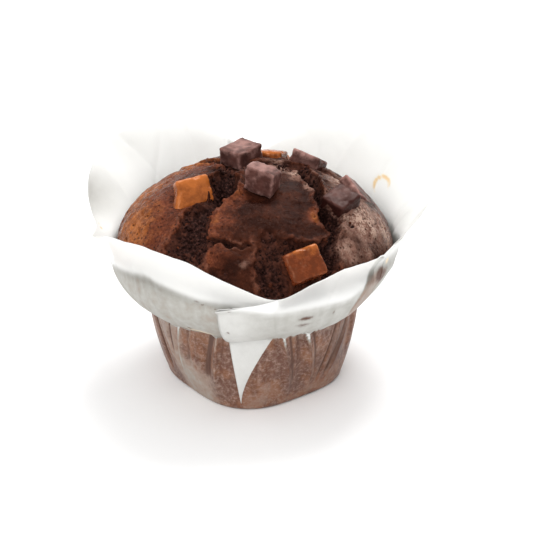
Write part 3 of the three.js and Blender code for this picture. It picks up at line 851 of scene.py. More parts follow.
class Finish:
    """A material under construction: its nodes, its links and its shader."""

    def __init__(self, name):
        self.material = bpy.data.materials.new(name)
        self.material.use_nodes = True
        self.tree = self.material.node_tree
        self.shader = self.tree.nodes["Principled BSDF"]
        self.place = self.tree.nodes.new("ShaderNodeTexCoord").outputs["Object"]

    def set(self, **sockets):
        for name, value in sockets.items():
            self.shader.inputs[name.replace("_", " ")].default_value = value

    def surface(self, colour, roughness, specular, tint=(1.0, 1.0, 1.0)):
        """What the surface looks like: its colour, its roughness and its highlights."""
        self.link(colour, self.shader.inputs["Base Color"])
        self.link(roughness, self.shader.inputs["Roughness"])
        self.set(Specular_IOR_Level=specular, Specular_Tint=(*tint, 1.0))

    def link(self, output, node_input):
        self.tree.links.new(output, node_input)

    def feed(self, node_input, value):
        if isinstance(value, bpy.types.NodeSocket):
            self.link(value, node_input)
        else:
            node_input.default_value = value

    def field(self, name):
        node = self.tree.nodes.new("ShaderNodeAttribute")
        node.attribute_name = name
        return node.outputs["Fac"]

    def noise(self, size, detail=3.0, roughness=0.55, distortion=0.0, stretch=1.0):
        """Noise whose lumps measure size millimetres, drawn out upwards where stretch is below 1."""
        node = self.tree.nodes.new("ShaderNodeTexNoise")
        squeeze = self.tree.nodes.new("ShaderNodeMapping")
        squeeze.inputs["Scale"].default_value = (1, 1, stretch)
        self.link(self.place, squeeze.inputs["Vector"])
        self.link(squeeze.outputs["Vector"], node.inputs["Vector"])
        node.inputs["Scale"].default_value = 1 / (size * MM)
        node.inputs["Detail"].default_value = detail
        node.inputs["Roughness"].default_value = roughness
        node.inputs["Distortion"].default_value = distortion
        return node.outputs["Fac"]

    def cells(self, size):
        """Distance to the nearest of scattered seeds, about size millimetres apart."""
        node = self.tree.nodes.new("ShaderNodeTexVoronoi")
        self.link(self.place, node.inputs["Vector"])
        node.inputs["Scale"].default_value = 1 / (size * MM)
        return node.outputs["Distance"]

    def math(self, operation, a, b):
        node = self.tree.nodes.new("ShaderNodeMath")
        node.operation = operation
        self.feed(node.inputs[0], a)
        self.feed(node.inputs[1], b)
        return node.outputs[0]

    def plus(self, a, b):
        return self.math("ADD", a, b)

    def times(self, a, b):
        return self.math("MULTIPLY", a, b)

    def swing(self, value, strength):
        """How far a noise is from its middle, times a strength."""
        return self.times(self.math("SUBTRACT", value, 0.5), strength)

    def span(self, value, low, high, to_low=0.0, to_high=1.0):
        """Smooth step of a value from low to high."""
        node = self.tree.nodes.new("ShaderNodeMapRange")
        node.interpolation_type = "SMOOTHSTEP"
        self.feed(node.inputs["Value"], value)
        for name, number in (("From Min", low), ("From Max", high), ("To Min", to_low), ("To Max", to_high)):
            node.inputs[name].default_value = number
        return node.outputs["Result"]

    def blend(self, share, a, b):
        """Mix of two colours."""
        node = self.tree.nodes.new("ShaderNodeMix")
        node.data_type = "RGBA"
        self.feed(node.inputs["Factor"], share)
        for name, value in (("A", a), ("B", b)):
            socket = next(s for s in node.inputs if s.name == name and s.type == "RGBA")
            self.feed(socket, value if isinstance(value, bpy.types.NodeSocket) else (*value, 1.0)[:4])
        return next(s for s in node.outputs if s.type == "RGBA")

    def step(self, value, low, high, a, b):
        """Colour a where the value is low and colour b where it is high."""
        return self.blend(self.span(value, low, high), a, b)

    def bump(self, height, distance, strength=1.0):
        """Relief of the given depth in millimetres, on top of any relief given before."""
        node = self.tree.nodes.new("ShaderNodeBump")
        self.link(height, node.inputs["Height"])
        node.inputs["Distance"].default_value = distance * MM
        node.inputs["Strength"].default_value = strength
        before = self.shader.inputs["Normal"].links
        if before:
            self.link(before[0].from_socket, node.inputs["Normal"])
        self.link(node.outputs["Normal"], self.shader.inputs["Normal"])


def cake_finish(name, look):
    """Crust that runs from orange brown to near black, with dark open crumb in its splits, and painted shade
    and sheen.
    """
    f = Finish(name)
    crumb, deep, toast, bloom = (f.field(field) for field in ("crumb", "deep", "toast", "bloom"))
    blotch = f.noise(6.0, 4.0, 0.6)
    mottle = f.noise(2.2, 4.0, 0.65)
    fine = f.noise(0.8, 4.0, 0.7)

    dark = f.step(blotch, 0.38, 0.64, look.crust, CRUST_BROWN)
    dark = f.blend(f.span(fine, 0.56, 0.76, 0.0, 0.4), dark, CRUST_SPECK)
    middle = f.step(fine, 0.4, 0.65, BETWEEN_DARK, BETWEEN_LIGHT)
    toasted = f.step(mottle, 0.36, 0.62, TOAST_BROWN, look.toasted)
    toasted = f.blend(f.span(fine, 0.5, 0.7, 0.0, 0.8), toasted, TOAST_SPECK)
    # The toast field also carries painted highlights along the lips of the splits.
    share = f.plus(f.plus(toast, f.swing(blotch, 0.4)), f.swing(mottle, 0.5))
    colour = f.step(share, 0.0, 0.5, dark, middle)
    colour = f.step(share, 0.4, 1.0, colour, toasted)

    # The dry lobe and its powder, and the island's painted sheen, then the pores of the crust
    dusty = f.step(mottle, 0.3, 0.6, DUSTY_DARK, DUSTY_LIGHT)
    powder = f.plus(f.noise(0.5, 2.0, 0.6), f.math("SUBTRACT", f.noise(3.2, 3.0, 0.6), 0.5))
    powdered = f.times(f.span(powder, 0.45, 0.58), f.span(bloom, 0.55, 0.95, 0.25, 1.0))
    dusty = f.blend(powdered, dusty, look.bloom)
    colour = f.step(f.plus(bloom, f.swing(blotch, 0.8)), 0.1, 0.75, colour, dusty)
    pores = f.span(f.cells(1.5), 0.1, 0.36)
    few = f.times(f.math("SUBTRACT", 1.0, pores), f.span(mottle, 0.3, 0.5))
    colour = f.blend(f.times(few, 0.85), colour, PORE)

    # The open crumb, dark with painted shade in its depths and pits, lighter with painted highlights on its
    # clumps
    brown = f.step(mottle, 0.38, 0.62, CRUMB_DARK, CRUMB_LIGHT)
    # Powder on the shallow crumb where it is bloomed, partly a painted sheen
    brown = f.blend(f.times(bloom, f.span(fine, 0.42, 0.6)), brown, CRUMB_POWDER)
    black = f.step(fine, 0.46, 0.72, look.crumb, CRUMB_GRAIN)
    open_crumb = f.step(f.plus(deep, f.times(mottle, 0.3)), 0.15, 0.6, brown, black)
    colour = f.step(crumb, 0.3, 0.7, colour, open_crumb)

    rough = f.plus(crumb, f.times(mottle, 0.7))
    f.surface(colour, f.span(rough, 0.15, 1.1, 0.2, 0.6), 0.05, (0.95, 0.6, 0.45))
    f.bump(pores, 0.25, 0.7)
    f.bump(mottle, 0.45, 0.7)
    f.bump(f.noise(0.6, 5.0, 0.7), 0.28, 0.9)
    return f.material


def paper_finish(name, look):
    """White greaseproof paper that lets light through, brown where the cake's fat has soaked in."""
    f = Finish(name)
    soak, mark, gold = (f.field(field) for field in ("soak", "mark", "gold"))
    patch = f.noise(2.6, 4.0, 0.6)
    grain = f.noise(0.55, 3.0, 0.6)
    streak = f.noise(2.2, 4.0, 0.6, stretch=0.22)
    cloud = f.noise(8.0, 3.0, 0.55)
    speck = f.noise(1.1, 6.0, 0.75)

    # The soak field also holds painted shade, so the paper greys where it turns under and beyond the
    # right-hand fold.
    wet = f.plus(soak, f.swing(patch, f.times(soak, soak)))
    grey = f.step(wet, 0.02, 0.55, look.paper, PAPER_GREY)
    grey = f.step(wet, 0.42, 0.62, grey, PAPER_WARM_GREY)
    brown = f.step(cloud, 0.4, 0.6, look.soaked, SOAKED_LIGHT)
    brown = f.blend(f.span(streak, 0.45, 0.66, 0.0, 0.7), brown, SOAKED_STREAK)
    brown = f.step(speck, 0.42, 0.74, brown, FAT_VEIL)
    brown = f.blend(f.span(cloud, 0.52, 0.7, 0.0, 0.35), brown, FAT_CLOUD)
    colour = f.step(wet, 0.52, 0.84, grey, brown)
    ragged = f.swing(grain, 0.5)
    colour = f.step(f.plus(gold, ragged), 0.1, 0.6, colour, GOLDEN)
    # Fat spots, and painted shade in the wall's grooves
    colour = f.step(f.plus(mark, ragged), 0.12, 0.75, colour, FAT_SPOT)

    f.surface(colour, f.span(soak, 0.3, 0.9, 0.56, 0.36), 0.2)
    f.bump(f.noise(1.8, 3.0, 0.5), 0.12, 0.5)
    f.bump(grain, 0.05, 0.5)
    glow = f.tree.nodes.new("ShaderNodeBsdfTranslucent")
    f.link(colour, glow.inputs["Color"])
    share = f.tree.nodes.new("ShaderNodeMixShader")
    f.link(f.field("glow"), share.inputs["Fac"])
    f.link(f.shader.outputs["BSDF"], share.inputs[1])
    f.link(glow.outputs["BSDF"], share.inputs[2])
    f.link(share.outputs["Shader"], f.tree.nodes["Material Output"].inputs["Surface"])
    return f.material


def chocolate_finish(name, look):
    """Dark chocolate, satin, with scuffed pale edges, a little bloom, and paler tops with painted sheen."""
    f = Finish(name)
    wear = f.field("wear")
    scuff = f.noise(1.4, 5.0, 0.7)
    colour = f.step(f.noise(4.0, 3.0, 0.5), 0.35, 0.65, look.chocolate, CHOCOLATE_LIGHT)
    # The wear field holds real wear and paleness, and painted light on the top faces.
    colour = f.step(wear, -0.7, 0.05, CHOCOLATE_DARK, colour)
    rubbed = f.plus(f.times(wear, 0.5), f.swing(scuff, 0.6))
    colour = f.blend(f.span(rubbed, 0.1, 0.6, 0.0, 0.75), colour, CHOCOLATE_RUBBED)
    f.surface(colour, f.span(scuff, 0.35, 0.7, 0.3, 0.52), 0.14, (1.0, 0.68, 0.6))
    f.bump(f.noise(2.4, 3.0, 0.5), 0.25, 0.5)
    f.bump(f.noise(0.35, 3.0, 0.6), 0.06, 0.5)
    return f.material


def caramel_finish(name, look):
    """Caramel, glossy in patches, lighter and drier at its cut edges, and lighter on top with painted sheen.
    """
    f = Finish(name)
    dry = f.noise(1.6, 4.0, 0.65)
    streak = f.noise(0.8, 3.0, 0.6, distortion=1.5)
    colour = f.step(dry, 0.35, 0.68, look.caramel, CARAMEL_LIGHT)
    # The wear field holds real wear and dryness, and painted light on the top faces.
    share = f.plus(f.times(f.field("wear"), 0.8), f.swing(dry, 0.5))
    colour = f.step(share, 0.12, 0.85, colour, CARAMEL_DRY)
    colour = f.blend(f.span(streak, 0.6, 0.78, 0.0, 0.3), colour, CARAMEL_STREAK)
    f.surface(colour, f.span(dry, 0.35, 0.7, 0.12, 0.4), 0.32, (1.0, 0.62, 0.4))
    f.bump(f.noise(1.9, 3.0, 0.5), 0.45, 0.7)
    f.bump(streak, 0.08, 0.5)
    return f.material


FINISHES = {
    "cake": ("baked cake", cake_finish),
    "paper_case": ("tulip paper", paper_finish),
    "chocolate": ("dark chocolate", chocolate_finish),
    "caramel": ("soft caramel", caramel_finish),
}


def finish_for(context, slot):
    """The material of a slot, made once."""
    look = context.scene.muffin_look
    name, make = FINISHES[slot]
    return bpy.data.materials.get(name) or make(name, look)


# Settings


def length_property(name, description, default):
    return FloatProperty(name=name, description=description, default=default * MM, unit="LENGTH", precision=5)


def colour_property(name, description, default):
    return FloatVectorProperty(
        name=name, description=description, default=default, size=3, min=0.0, max=1.0, subtype="COLOR"
    )


class MuffinSizes(bpy.types.PropertyGroup):
    paper_thickness: length_property("Paper thickness", "Thickness of the case's paper", 0.16)
    crumb_relief: length_property("Crumb relief", "Height of the lumps of open crumb", 0.95)
    crust_relief: length_property("Crust relief", "Height of the crust's unevenness", 0.35)
    chunk_wear: length_property("Chunk wear", "How uneven the chunks' faces are", 0.28)
    crumbs: IntProperty(name="Crumbs", description="Loose crumbs", default=1500, min=0, max=4000)


class MuffinLook(bpy.types.PropertyGroup):
    crust: colour_property("Crust", "Dark middle of the crust", (0.020, 0.006, 0.004))
    toasted: colour_property("Toasted crust", "Orange-brown lobe", (0.33, 0.103, 0.027))
    # The dry bloom's colour, also used for the island's painted sheen
    bloom: colour_property("Dry crust", "Grey-brown, powdery lobe", (0.40, 0.27, 0.21))
    # Darkest crumb, used for painted shade deep in the splits
    crumb: colour_property("Crumb", "Open crumb in the splits", (0.012, 0.0045, 0.0038))
    paper: colour_property("Paper", "Dry white paper", (0.93, 0.93, 0.915))
    soaked: colour_property("Soaked paper", "Paper with fat in it, over the cake", (0.15, 0.069, 0.048))
    chocolate: colour_property("Chocolate", "Chocolate chunks", (0.042, 0.0155, 0.0125))
    caramel: colour_property("Caramel", "Caramel chunks", (0.095, 0.0205, 0.0072))


class MuffinStage(bpy.types.PropertyGroup):
    elevation: FloatProperty(
        name="Elevation", description="Height of the view", default=math.radians(25), subtype="ANGLE"
    )
    distance: FloatProperty(name="Distance", description="Camera to muffin", default=0.45, unit="LENGTH")
    lens: FloatProperty(name="Lens", description="Focal length in millimetres", default=98.0)
    key_power: FloatProperty(name="Key light", description="Power of the key light in watts", default=3.7)
    back_power: FloatProperty(name="Back light", description="Power of the back light in watts", default=5.2)
    fill: FloatProperty(name="Surround", description="Strength of the white surround", default=0.82)


# Pieces


def cake_points(directions, sizes):
    """Places of the cake's points for the directions of a ball's points, and the fields of its material."""
    azimuth = np.degrees(np.arctan2(directions[:, 1], directions[:, 0]))
    polar = np.degrees(np.arccos(np.clip(directions[:, 2], -1, 1)))
    on_dome = polar <= DOME_SHARE
    length = CRUST_LENGTH[-1] * np.minimum(polar / DOME_SHARE, 1)
    radius = np.interp(length, CRUST_LENGTH, CRUST_R)
    turn = np.radians(azimuth)
    around = np.stack([np.cos(turn), np.sin(turn)], 1)
    place = around * length[:, None]
    base = on_circle(radius, azimuth, dome_z(radius))

    # The crust's edges are ragged, so every patch and split is looked up at a slightly shifted place.
    ragged = place + 1.5 * np.stack([noise_at(base, 5.5, 1), noise_at(base, 5.5, 2)], 1)
    ragged += 1.3 * np.stack([noise_at(base, 2.0, 3), noise_at(base, 2.0, 4)], 1)
    depth, lip, towards = splits(ragged)
    lip *= 1 - patches(place, CALM)
    bare = patches(ragged, SCRAPES)
    broken = bare * (1 + 0.5 * noise_at(base, 3.0, 11))
    open_crumb = rise(np.maximum(depth / 1.6, 0.35 * broken), 0.16, 0.4)
    swell = -patches(place, HOLLOWS)
    for x, y, size, height in SWELLINGS:
        swell += height * fall(np.linalg.norm(ragged - on_crust(x, y), axis=1) / size)

    crust_relief, crumb_relief = sizes.crust_relief / MM, sizes.crumb_relief / MM
    bumps = crust_relief * (1.3 * noise_at(base, 6.0, 5) + 0.5 * noise_at(base, 1.8, 6))
    grains = 1.2 * (0.6 - cells_at(base, 3.2, 7)) + 0.7 * (0.6 - cells_at(base, 1.5, 8))
    grains += 0.5 * noise_at(base, 0.8, 9)
    pits = -0.45 * rise(noise_at(base, 2.1, 10), 0.28, 0.5)
    toast, bloom = patches(ragged, TOASTED), patches(ragged, BLOOMED)
    lift = swell - np.maximum(depth, bare) + LIP_HEIGHT * lip
    lift += (1 - open_crumb) * (bumps + pits * (0.4 + 0.6 * np.maximum(toast, bloom)))
    lift += open_crumb * (crumb_relief * grains - 0.45)

    slope = np.interp(radius, CRUST_R, -np.gradient(dome_z(CRUST_R), CRUST_R))
    slope = np.minimum(slope, STEEPEST)
    steep = np.hypot(1, slope)
    edge = np.clip(np.degrees(np.arccos(np.clip(radius / DOME_RADIUS, 0, 1))) / EDGE_FADE, 0, 1)
    lift *= edge
    out, up = slope / steep, 1 / steep
    # The lips lean over the splits.
    lean = LIP_LEAN * np.clip(lip / 3, 0, 1) * edge
    meridian = np.sum(towards * around, 1) * lean
    sideways = (towards[:, 1] * around[:, 0] - towards[:, 0] * around[:, 1]) * lean
    r = radius + lift * out + meridian * up
    z = dome_z(radius) + lift * up - meridian * out
    points = on_circle(r, azimuth, z)
    points[:, 0] -= sideways * np.sin(turn)
    points[:, 1] += sideways * np.cos(turn)

    # Below the dome: its underside, the wall and the foot, all hidden in the case
    below = np.clip((polar - DOME_SHARE) / (180 - DOME_SHARE), 0, 1)
    under_t = np.clip(UNDERSIDE_REACH * (1 - below / UNDERSIDE_END), 0, UNDERSIDE_REACH)
    hug_r, hug_z = hug_path(azimuth, under_t)
    hug_r = np.minimum(hug_r, DOME_RADIUS + 0.5) - CAKE_CLEARANCE - 0.3
    wall_z = mix(TIN_DEPTH, CAKE_FOOT_Z, np.clip((below - UNDERSIDE_END) / 0.3, 0, 1))
    wall_r = wall_radius(azimuth, wall_z) - CAKE_CLEARANCE - 0.8 * rise(below, 0.5, FOOT_START)
    foot_r = wall_r * (1 - np.clip((below - FOOT_START) / (1 - FOOT_START), 0, 1))
    hugging = on_circle(hug_r, azimuth, hug_z)
    wall = on_circle(foot_r, azimuth, wall_z)
    low = np.where((below < UNDERSIDE_END)[:, None], hugging, wall)
    points = np.where(on_dome[:, None], points, low)
    fields = {
        "crumb": np.where(on_dome, open_crumb, 0.5),
        # Painted shade deep in the splits and between the crumb's clumps, painted highlights on the clumps
        "deep": np.where(on_dome, np.clip(rise(depth, 0.8, 4.0) - 0.75 * grains, 0, 1), 0.6),
        # The lips of the splits are lighter: toasted, and with painted highlights along them, in the toast
        # field and the bloom field.
        "toast": np.clip(toast + 0.2 * np.clip(lip, 0, 1) * (1 - bloom), 0, 1),
        "bloom": np.clip(bloom + 0.18 * np.clip(lip, 0, 1) * (toast < 0.2), 0, 1),
    }
    return points, fields


class MUFFIN_OT_cake(bpy.types.Operator):
    """Models the baked cake, from a cube that is divided finely and swelled to the dome"""

    bl_idname = "muffin.cake"
    bl_label = "Cake"

    def execute(self, context):
        bpy.ops.mesh.primitive_cube_add(size=2)
        piece = context.object
        in_edit_mode(
            piece,
            (bpy.ops.mesh.subdivide, dict(number_cuts=CAKE_FIRST_CUTS)),
            (bpy.ops.mesh.subdivide, dict(number_cuts=CAKE_SECOND_CUTS)),
        )
        cube = np.tan(read_points(piece) * math.pi / 4)
        ball = cube / np.linalg.norm(cube, axis=1)[:, None]
        points, fields = cake_points(ball, context.scene.muffin_sizes)
        write_points(piece, points)
        write_fields(piece, **fields)
        finish_piece(piece, "cake_baked", finish_for(context, "cake"), ["cake"])
        return {"FINISHED"}


def grid_piece(columns, rows):
    """A flat grid of so many columns and rows of points, and its points' column and row numbers."""
    bpy.ops.mesh.primitive_grid_add(x_subdivisions=columns - 1, y_subdivisions=rows - 1, size=2)
    piece = bpy.context.object
    flat = read_points(piece)
    column = np.rint((flat[:, 0] + 1) / 2 * (columns - 1)).astype(int)
    row = np.rint((flat[:, 1] + 1) / 2 * (rows - 1)).astype(int)
    return piece, column, row


def paper_ripple(points):
    """Small buckles of the paper, in millimetres."""
    soft = noise_at(points, 9.0, 21)
    sharp = 0.5 - np.abs(noise_at(points, 6.0, 22))
    fine = noise_at(points, 2.4, 23)
    return 0.28 * soft + 0.2 * sharp + 0.05 * fine


def case_share():
    """How far up the petal each row of a section is: 0 up to the shoulder, 1 at the rim."""
    return np.concatenate([np.zeros(WALL_ROWS + HUG_ROWS), np.linspace(0, 1, PETAL_ROWS + 1)])


def sheet_lift(azimuth, r, z, share):
    """How far pinches, creases and buckles lift the sheet, and how far the wall's ridges stand out."""
    pinches = pinch_lift(azimuth, r, z)
    creases = petal_crease_lift(azimuth, r, z)
    ripple = paper_ripple(on_circle(r, azimuth, z).reshape(-1, 3)).reshape(r.shape)
    ripple = ripple * rise(z, 2, 12) * (0.45 + 0.75 * share)
    return pinches + creases + ripple, pinches + 0.6 * ripple


def sheet_soak(azimuth, height, stand, places):
    """How far fat has soaked into all of the wall, with painted shade above it where the sheet turns under.
    """
    # Above the wall, painted shade where the sheet turns under and beyond the right-hand fold.
    folds = noise_at(np.stack([azimuth / 2.2, height / 30, 0 * height], 1), 1.0, 26)
    above = underside(azimuth, height) * (1 + 0.1 * folds)
    soak = np.where(height < SOAK_TOP, 1.0, above)
    on_wall = height < TIN_DEPTH
    near_crease = fall((TIN_DEPTH - height) / 6) * on_wall

    # The wall is lighter in two places on the left, one high up and one low down.
    left_light = fall((apart(azimuth, -152) - 8) / 26) * rise(height, 2, 20) * on_wall
    soak -= 0.32 * left_light
    soak -= 0.42 * fall((apart(azimuth, -130) - 8) / 22) * fall((height - 6) / 15)

    # So are its ridges, most of all near the crease, and patches of the crease itself.
    ridge = np.where((azimuth < -105) & (azimuth > -170), 0.35, 0.7)
    soak -= rise(stand, 0.3, 0.75) * (0.18 + ridge * near_crease)
    soak -= 0.3 * near_crease * rise(noise_at(places, 7.0, 25), -0.2, 0.4)
    return soak


class MUFFIN_OT_case(bpy.types.Operator):
    """Models the sheet: a grid that is rolled up, drawn in to the foot and flared into four petals"""

    bl_idname = "muffin.case"
    bl_label = "Paper case"

    def execute(self, context):
        sizes = context.scene.muffin_sizes
        azimuth = np.linspace(-180, 180, SHEET_COLUMNS)
        rim_r, rim_z = rim_at(azimuth)
        first_z = SOLID_PAPER + FOOT_ROUND
        r, z = case_section(azimuth, rim_r, rim_z, first_z)
        share = case_share()[:, None]
        lift, stand = sheet_lift(azimuth[None, :], r, z, share)
        r, z = lift_off(r, z, SHEET_MIDDLE + lift)

        # The foot: a rounded edge and a flat disc, drawn in to one point
        foot_rows = []
        wall_r = wall_radius(azimuth, first_z) + SHEET_MIDDLE
        for share_in in FOOT_SHARES:
            row_r = wall_r * share_in * (1 - FOOT_ROUND / FOOT_RADIUS)
            foot_rows.append((row_r, np.full_like(azimuth, SHEET_FOOT_Z)))
        for turn in FOOT_TURNS:
            angle = math.radians(turn)
            row_r = wall_r - FOOT_ROUND * (1 - math.sin(angle))
            row_z = SHEET_FOOT_Z + (first_z - SHEET_FOOT_Z) * (1 - math.cos(angle))
            foot_rows.append((row_r, np.full_like(azimuth, row_z)))
        r = np.concatenate([np.array([row[0] for row in foot_rows]), r])
        z = np.concatenate([np.array([row[1] for row in foot_rows]), z])
        added = len(foot_rows)

        piece, column, row = grid_piece(SHEET_COLUMNS, len(r))
        write_points(piece, on_circle(r[row, column], azimuth[column], z[row, column]))

        # The marks and the grooves' painted shade, and how far fat has soaked in, with painted shade above
        # the wall
        stand = np.concatenate([np.zeros((added, SHEET_COLUMNS)), stand])[row, column]
        height = z[row, column]
        turned = azimuth[column]
        marks, gold, grey = paper_marks(turned, height)
        # The wall's grooves get painted shade.
        marks = np.maximum(marks, groove_marks(stand, height))
        soak = sheet_soak(turned, height, stand, read_points(piece) / MM)
        soak = np.clip(np.maximum(soak, grey), 0, 1)
        up_petal = np.concatenate([np.zeros(added), case_share()])[row]
        glow = mix(PAPER_GLOW, PETAL_GLOW, rise(up_petal, 0.0, 0.45))
        write_fields(piece, soak=soak, mark=marks, gold=gold, glow=glow)
        in_edit_mode(
            piece,
            (bpy.ops.mesh.remove_doubles, dict(threshold=MERGE_DISTANCE * MM)),
            FACE_OUTWARDS,
        )
        thicken(piece, sizes.paper_thickness)
        finish = finish_for(context, "paper_case")
        finish_piece(piece, "paper_sheet", finish, ["paper_case"])
        return {"FINISHED"}


def pleat_line(pleat, share, lift):
    """One line up a pleat's layer: share runs from its hidden end to its free edge."""
    end_r, end_z = rim_at(np.array([float(pleat["end"][1])]))
    rim_r = mix(end_r, pleat["corner"][0], share)
    rim_z = mix(end_z, pleat["corner"][1], share**0.7)
    crease = mix(pleat["end"][0], pleat["edge"][0], share)
    top = mix(pleat["end"][1], pleat["edge"][1], share)
    r, z = case_section(np.array([float(crease)]), rim_r, rim_z, PLEAT_START_Z)
    high = np.clip((z - TIN_DEPTH) / (rim_z - TIN_DEPTH), 0, 1)
    low = np.clip((z - PLEAT_START_Z) / (TIN_DEPTH - PLEAT_START_Z), 0, 1) ** mix(END_BOW, 1, share)
    azimuth = np.where(z > TIN_DEPTH, mix(crease, top, high), mix(pleat["foot"], crease, low))[:, 0]
    own_r, own_z = case_section(azimuth, rim_r, rim_z, PLEAT_START_Z)
    index = np.arange(len(azimuth))
    r, z = own_r[index, index], own_z[index, index]
    sheet, stand = sheet_lift(azimuth, r, z, case_share())
    swell = np.minimum(1, z / TIN_DEPTH) + 0.25 * fall(np.abs(index - WALL_ROWS) / (0.6 * WALL_ROWS))
    follow = 0.35 + 0.65 * fall(share / 0.6)
    total = SHEET_MIDDLE + sheet * follow + lift * swell
    r, z = lift_off(r[:, None], z[:, None], total[:, None])
    return on_circle(r[:, 0], azimuth, z[:, 0]), azimuth, stand


class MUFFIN_OT_pleats(bpy.types.Operator):
    """Models the four pleats: each a strip folded back under its own free edge, laid over the sheet"""

    bl_idname = "muffin.pleats"
    bl_label = "Pleats"

    def execute(self, context):
        sizes = context.scene.muffin_sizes
        for name, pleat in PLEATS.items():
            # The outer layer rises to its free edge, and the inner one runs back under it.
            outer = np.linspace(0, 1, PLEAT_COLUMNS)
            inner = np.linspace(1, 0.4, PLEAT_COLUMNS // 2)[1:]
            high = pleat["rise"]
            lines = [pleat_line(pleat, s, -0.1 + (high + 0.1) * s**1.3) for s in outer]
            lines += [pleat_line(pleat, s, 0.05 + 0.35 * (high - 0.05) * s) for s in inner]
            points = np.array([line[0] for line in lines])
            turned = np.array([line[1] for line in lines])
            stand = np.array([line[2] for line in lines])
            piece, column, row = grid_piece(len(lines), points.shape[1])
            made = points[column, row]
            write_points(piece, made)
            height = made[:, 2]
            marks, gold, grey = paper_marks(turned[column, row], height)
            # A soaked pleat's grooves get painted shade too.
            if pleat["soak"] > 0.5:
                marks = np.maximum(marks, groove_marks(stand[column, row], height))
            # Above the wall, painted shade where the pleat turns under, weaker towards its free edge.
            bare = np.concatenate([outer, inner])[column]
            above = underside(turned[column, row], height) * mix(1, 0.7, rise(bare, 0.1, 0.9))
            soak = np.maximum(np.where(height < SOAK_TOP, pleat["soak"], above), grey)
            write_fields(piece, soak=soak, mark=marks, gold=gold, glow=np.full(len(made), PAPER_GLOW))
            in_edit_mode(piece, FACE_OUTWARDS)
            thicken(piece, sizes.paper_thickness)
            finish = finish_for(context, "paper_case")
            finish_piece(piece, f"pleat_{name}", finish, ["paper_case"])
        return {"FINISHED"}


def chunk_pose(node):
    """Centre, axes as columns, and size of a chunk's solid, read from its flat faces."""
    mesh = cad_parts[node].data
    areas = {}
    for face in mesh.polygons:
        key = tuple(round(v, 2) for v in face.normal)
        areas[key] = areas.get(key, 0) + face.area
    ways = [Vector(k) for k in sorted(areas, key=areas.get, reverse=True)]
    thick = ways[0].normalized()
    across = next(w for w in ways if abs(w.dot(thick)) < 0.05).normalized()
    along = across.cross(thick).normalized()
    across = thick.cross(along).normalized()
    axes = np.array([along, across, thick]).T
    points = np.empty(len(mesh.vertices) * 3)
    mesh.vertices.foreach_get("co", points)
    local = points.reshape(-1, 3) / MM @ axes
    low, high = local.min(0), local.max(0)
    return axes @ ((low + high) / 2), axes, high - low


def cut_block(node, bevel, wear, seed, sag=0.0, dry=0.0, runs=()):
    """A cut block in the place of a chunk's solid: a bevelled cube with uneven faces and worn corners."""
    centre, axes, size = chunk_pose(node)
    size = size * CORNER_ALLOWANCE
    bpy.ops.mesh.primitive_cube_add(size=2)
    piece = bpy.context.object
    in_edit_mode(piece, (bpy.ops.mesh.subdivide, dict(number_cuts=CHUNK_CUTS)))
    local = read_points(piece) * size / 2
    core = np.clip(local, bevel - size / 2, size / 2 - bevel)
    outside = local - core
    local = core + outside * bevel / np.linalg.norm(outside, axis=1)[:, None]

    # Uneven faces, with bites out of the edges. Each block looks up its own part of the noise.
    seen = local + np.array((31.0, 17.0, 9.0)) * seed
    corner = np.sort(np.abs(local) - size / 2, axis=1)
    edge = rise(corner[:, 1], -1.3, -0.1)
    outward = local / np.linalg.norm(local / size, axis=1)[:, None] / size
    outward /= np.linalg.norm(outward, axis=1)[:, None]
    push = wear * (1.1 * noise_at(seen, 3.4, 31) + 0.4 * noise_at(seen, 1.2, 32))
    push -= wear * 1.6 * edge * rise(noise_at(seen, 1.9, 33), 0.0, 0.45)
    local = local + outward * push[:, None]

    # A soft block spreads low down, and runs where it has melted.
    if sag:
        low = fall((local @ axes[2] - (local @ axes[2]).min()) / 3.5)
        local = local + outward * (sag * low)[:, None]
    made = centre + local @ axes.T
    for start, reach, way in runs:
        near = fall(np.linalg.norm(made - np.array(start), axis=1) / reach)
        made = made + near[:, None] * np.array(way)
    write_points(piece, made)
    # The top faces get more of the wear field: painted light from above, on top of the edges' real wear and
    # each block's paleness.
    top = rise((outward @ axes.T)[:, 2], 0.6, 0.9)
    write_fields(piece, wear=0.3 * edge + dry + 0.45 * top + 0.35 * noise_at(seen, 2.2, 34))
    in_edit_mode(piece, FACE_OUTWARDS)
    return piece


class MUFFIN_OT_chocolate(bpy.types.Operator):
    """Models the chocolate chunks as cut blocks"""

    bl_idname = "muffin.chocolate"
    bl_label = "Chocolate chunks"

    def execute(self, context):
        wear = context.scene.muffin_sizes.chunk_wear / MM
        for seed, node in enumerate(CHOCOLATE_NODES, start=1):
            piece = cut_block(node, CHOCOLATE_BEVEL, wear, seed, dry=CHOCOLATE_BLOOM[node])
            finish_piece(piece, f"{node}_cut", finish_for(context, "chocolate"), [node])
        return {"FINISHED"}


class MUFFIN_OT_caramel(bpy.types.Operator):
    """Models the caramel chunks as cut blocks that have softened in the oven"""

    bl_idname = "muffin.caramel"
    bl_label = "Caramel chunks"

    def execute(self, context):
        wear = CARAMEL_WEAR * context.scene.muffin_sizes.chunk_wear / MM
        for seed, node in enumerate(CARAMEL_NODES, start=21):
            dryness, runs = CARAMEL_DRYNESS[node], CARAMEL_RUNS.get(node, ())
            piece = cut_block(node, CARAMEL_BEVEL, wear, seed, CARAMEL_SAG, dryness, runs)
            finish_piece(piece, f"{node}_cut", finish_for(context, "caramel"), [node])
        return {"FINISHED"}


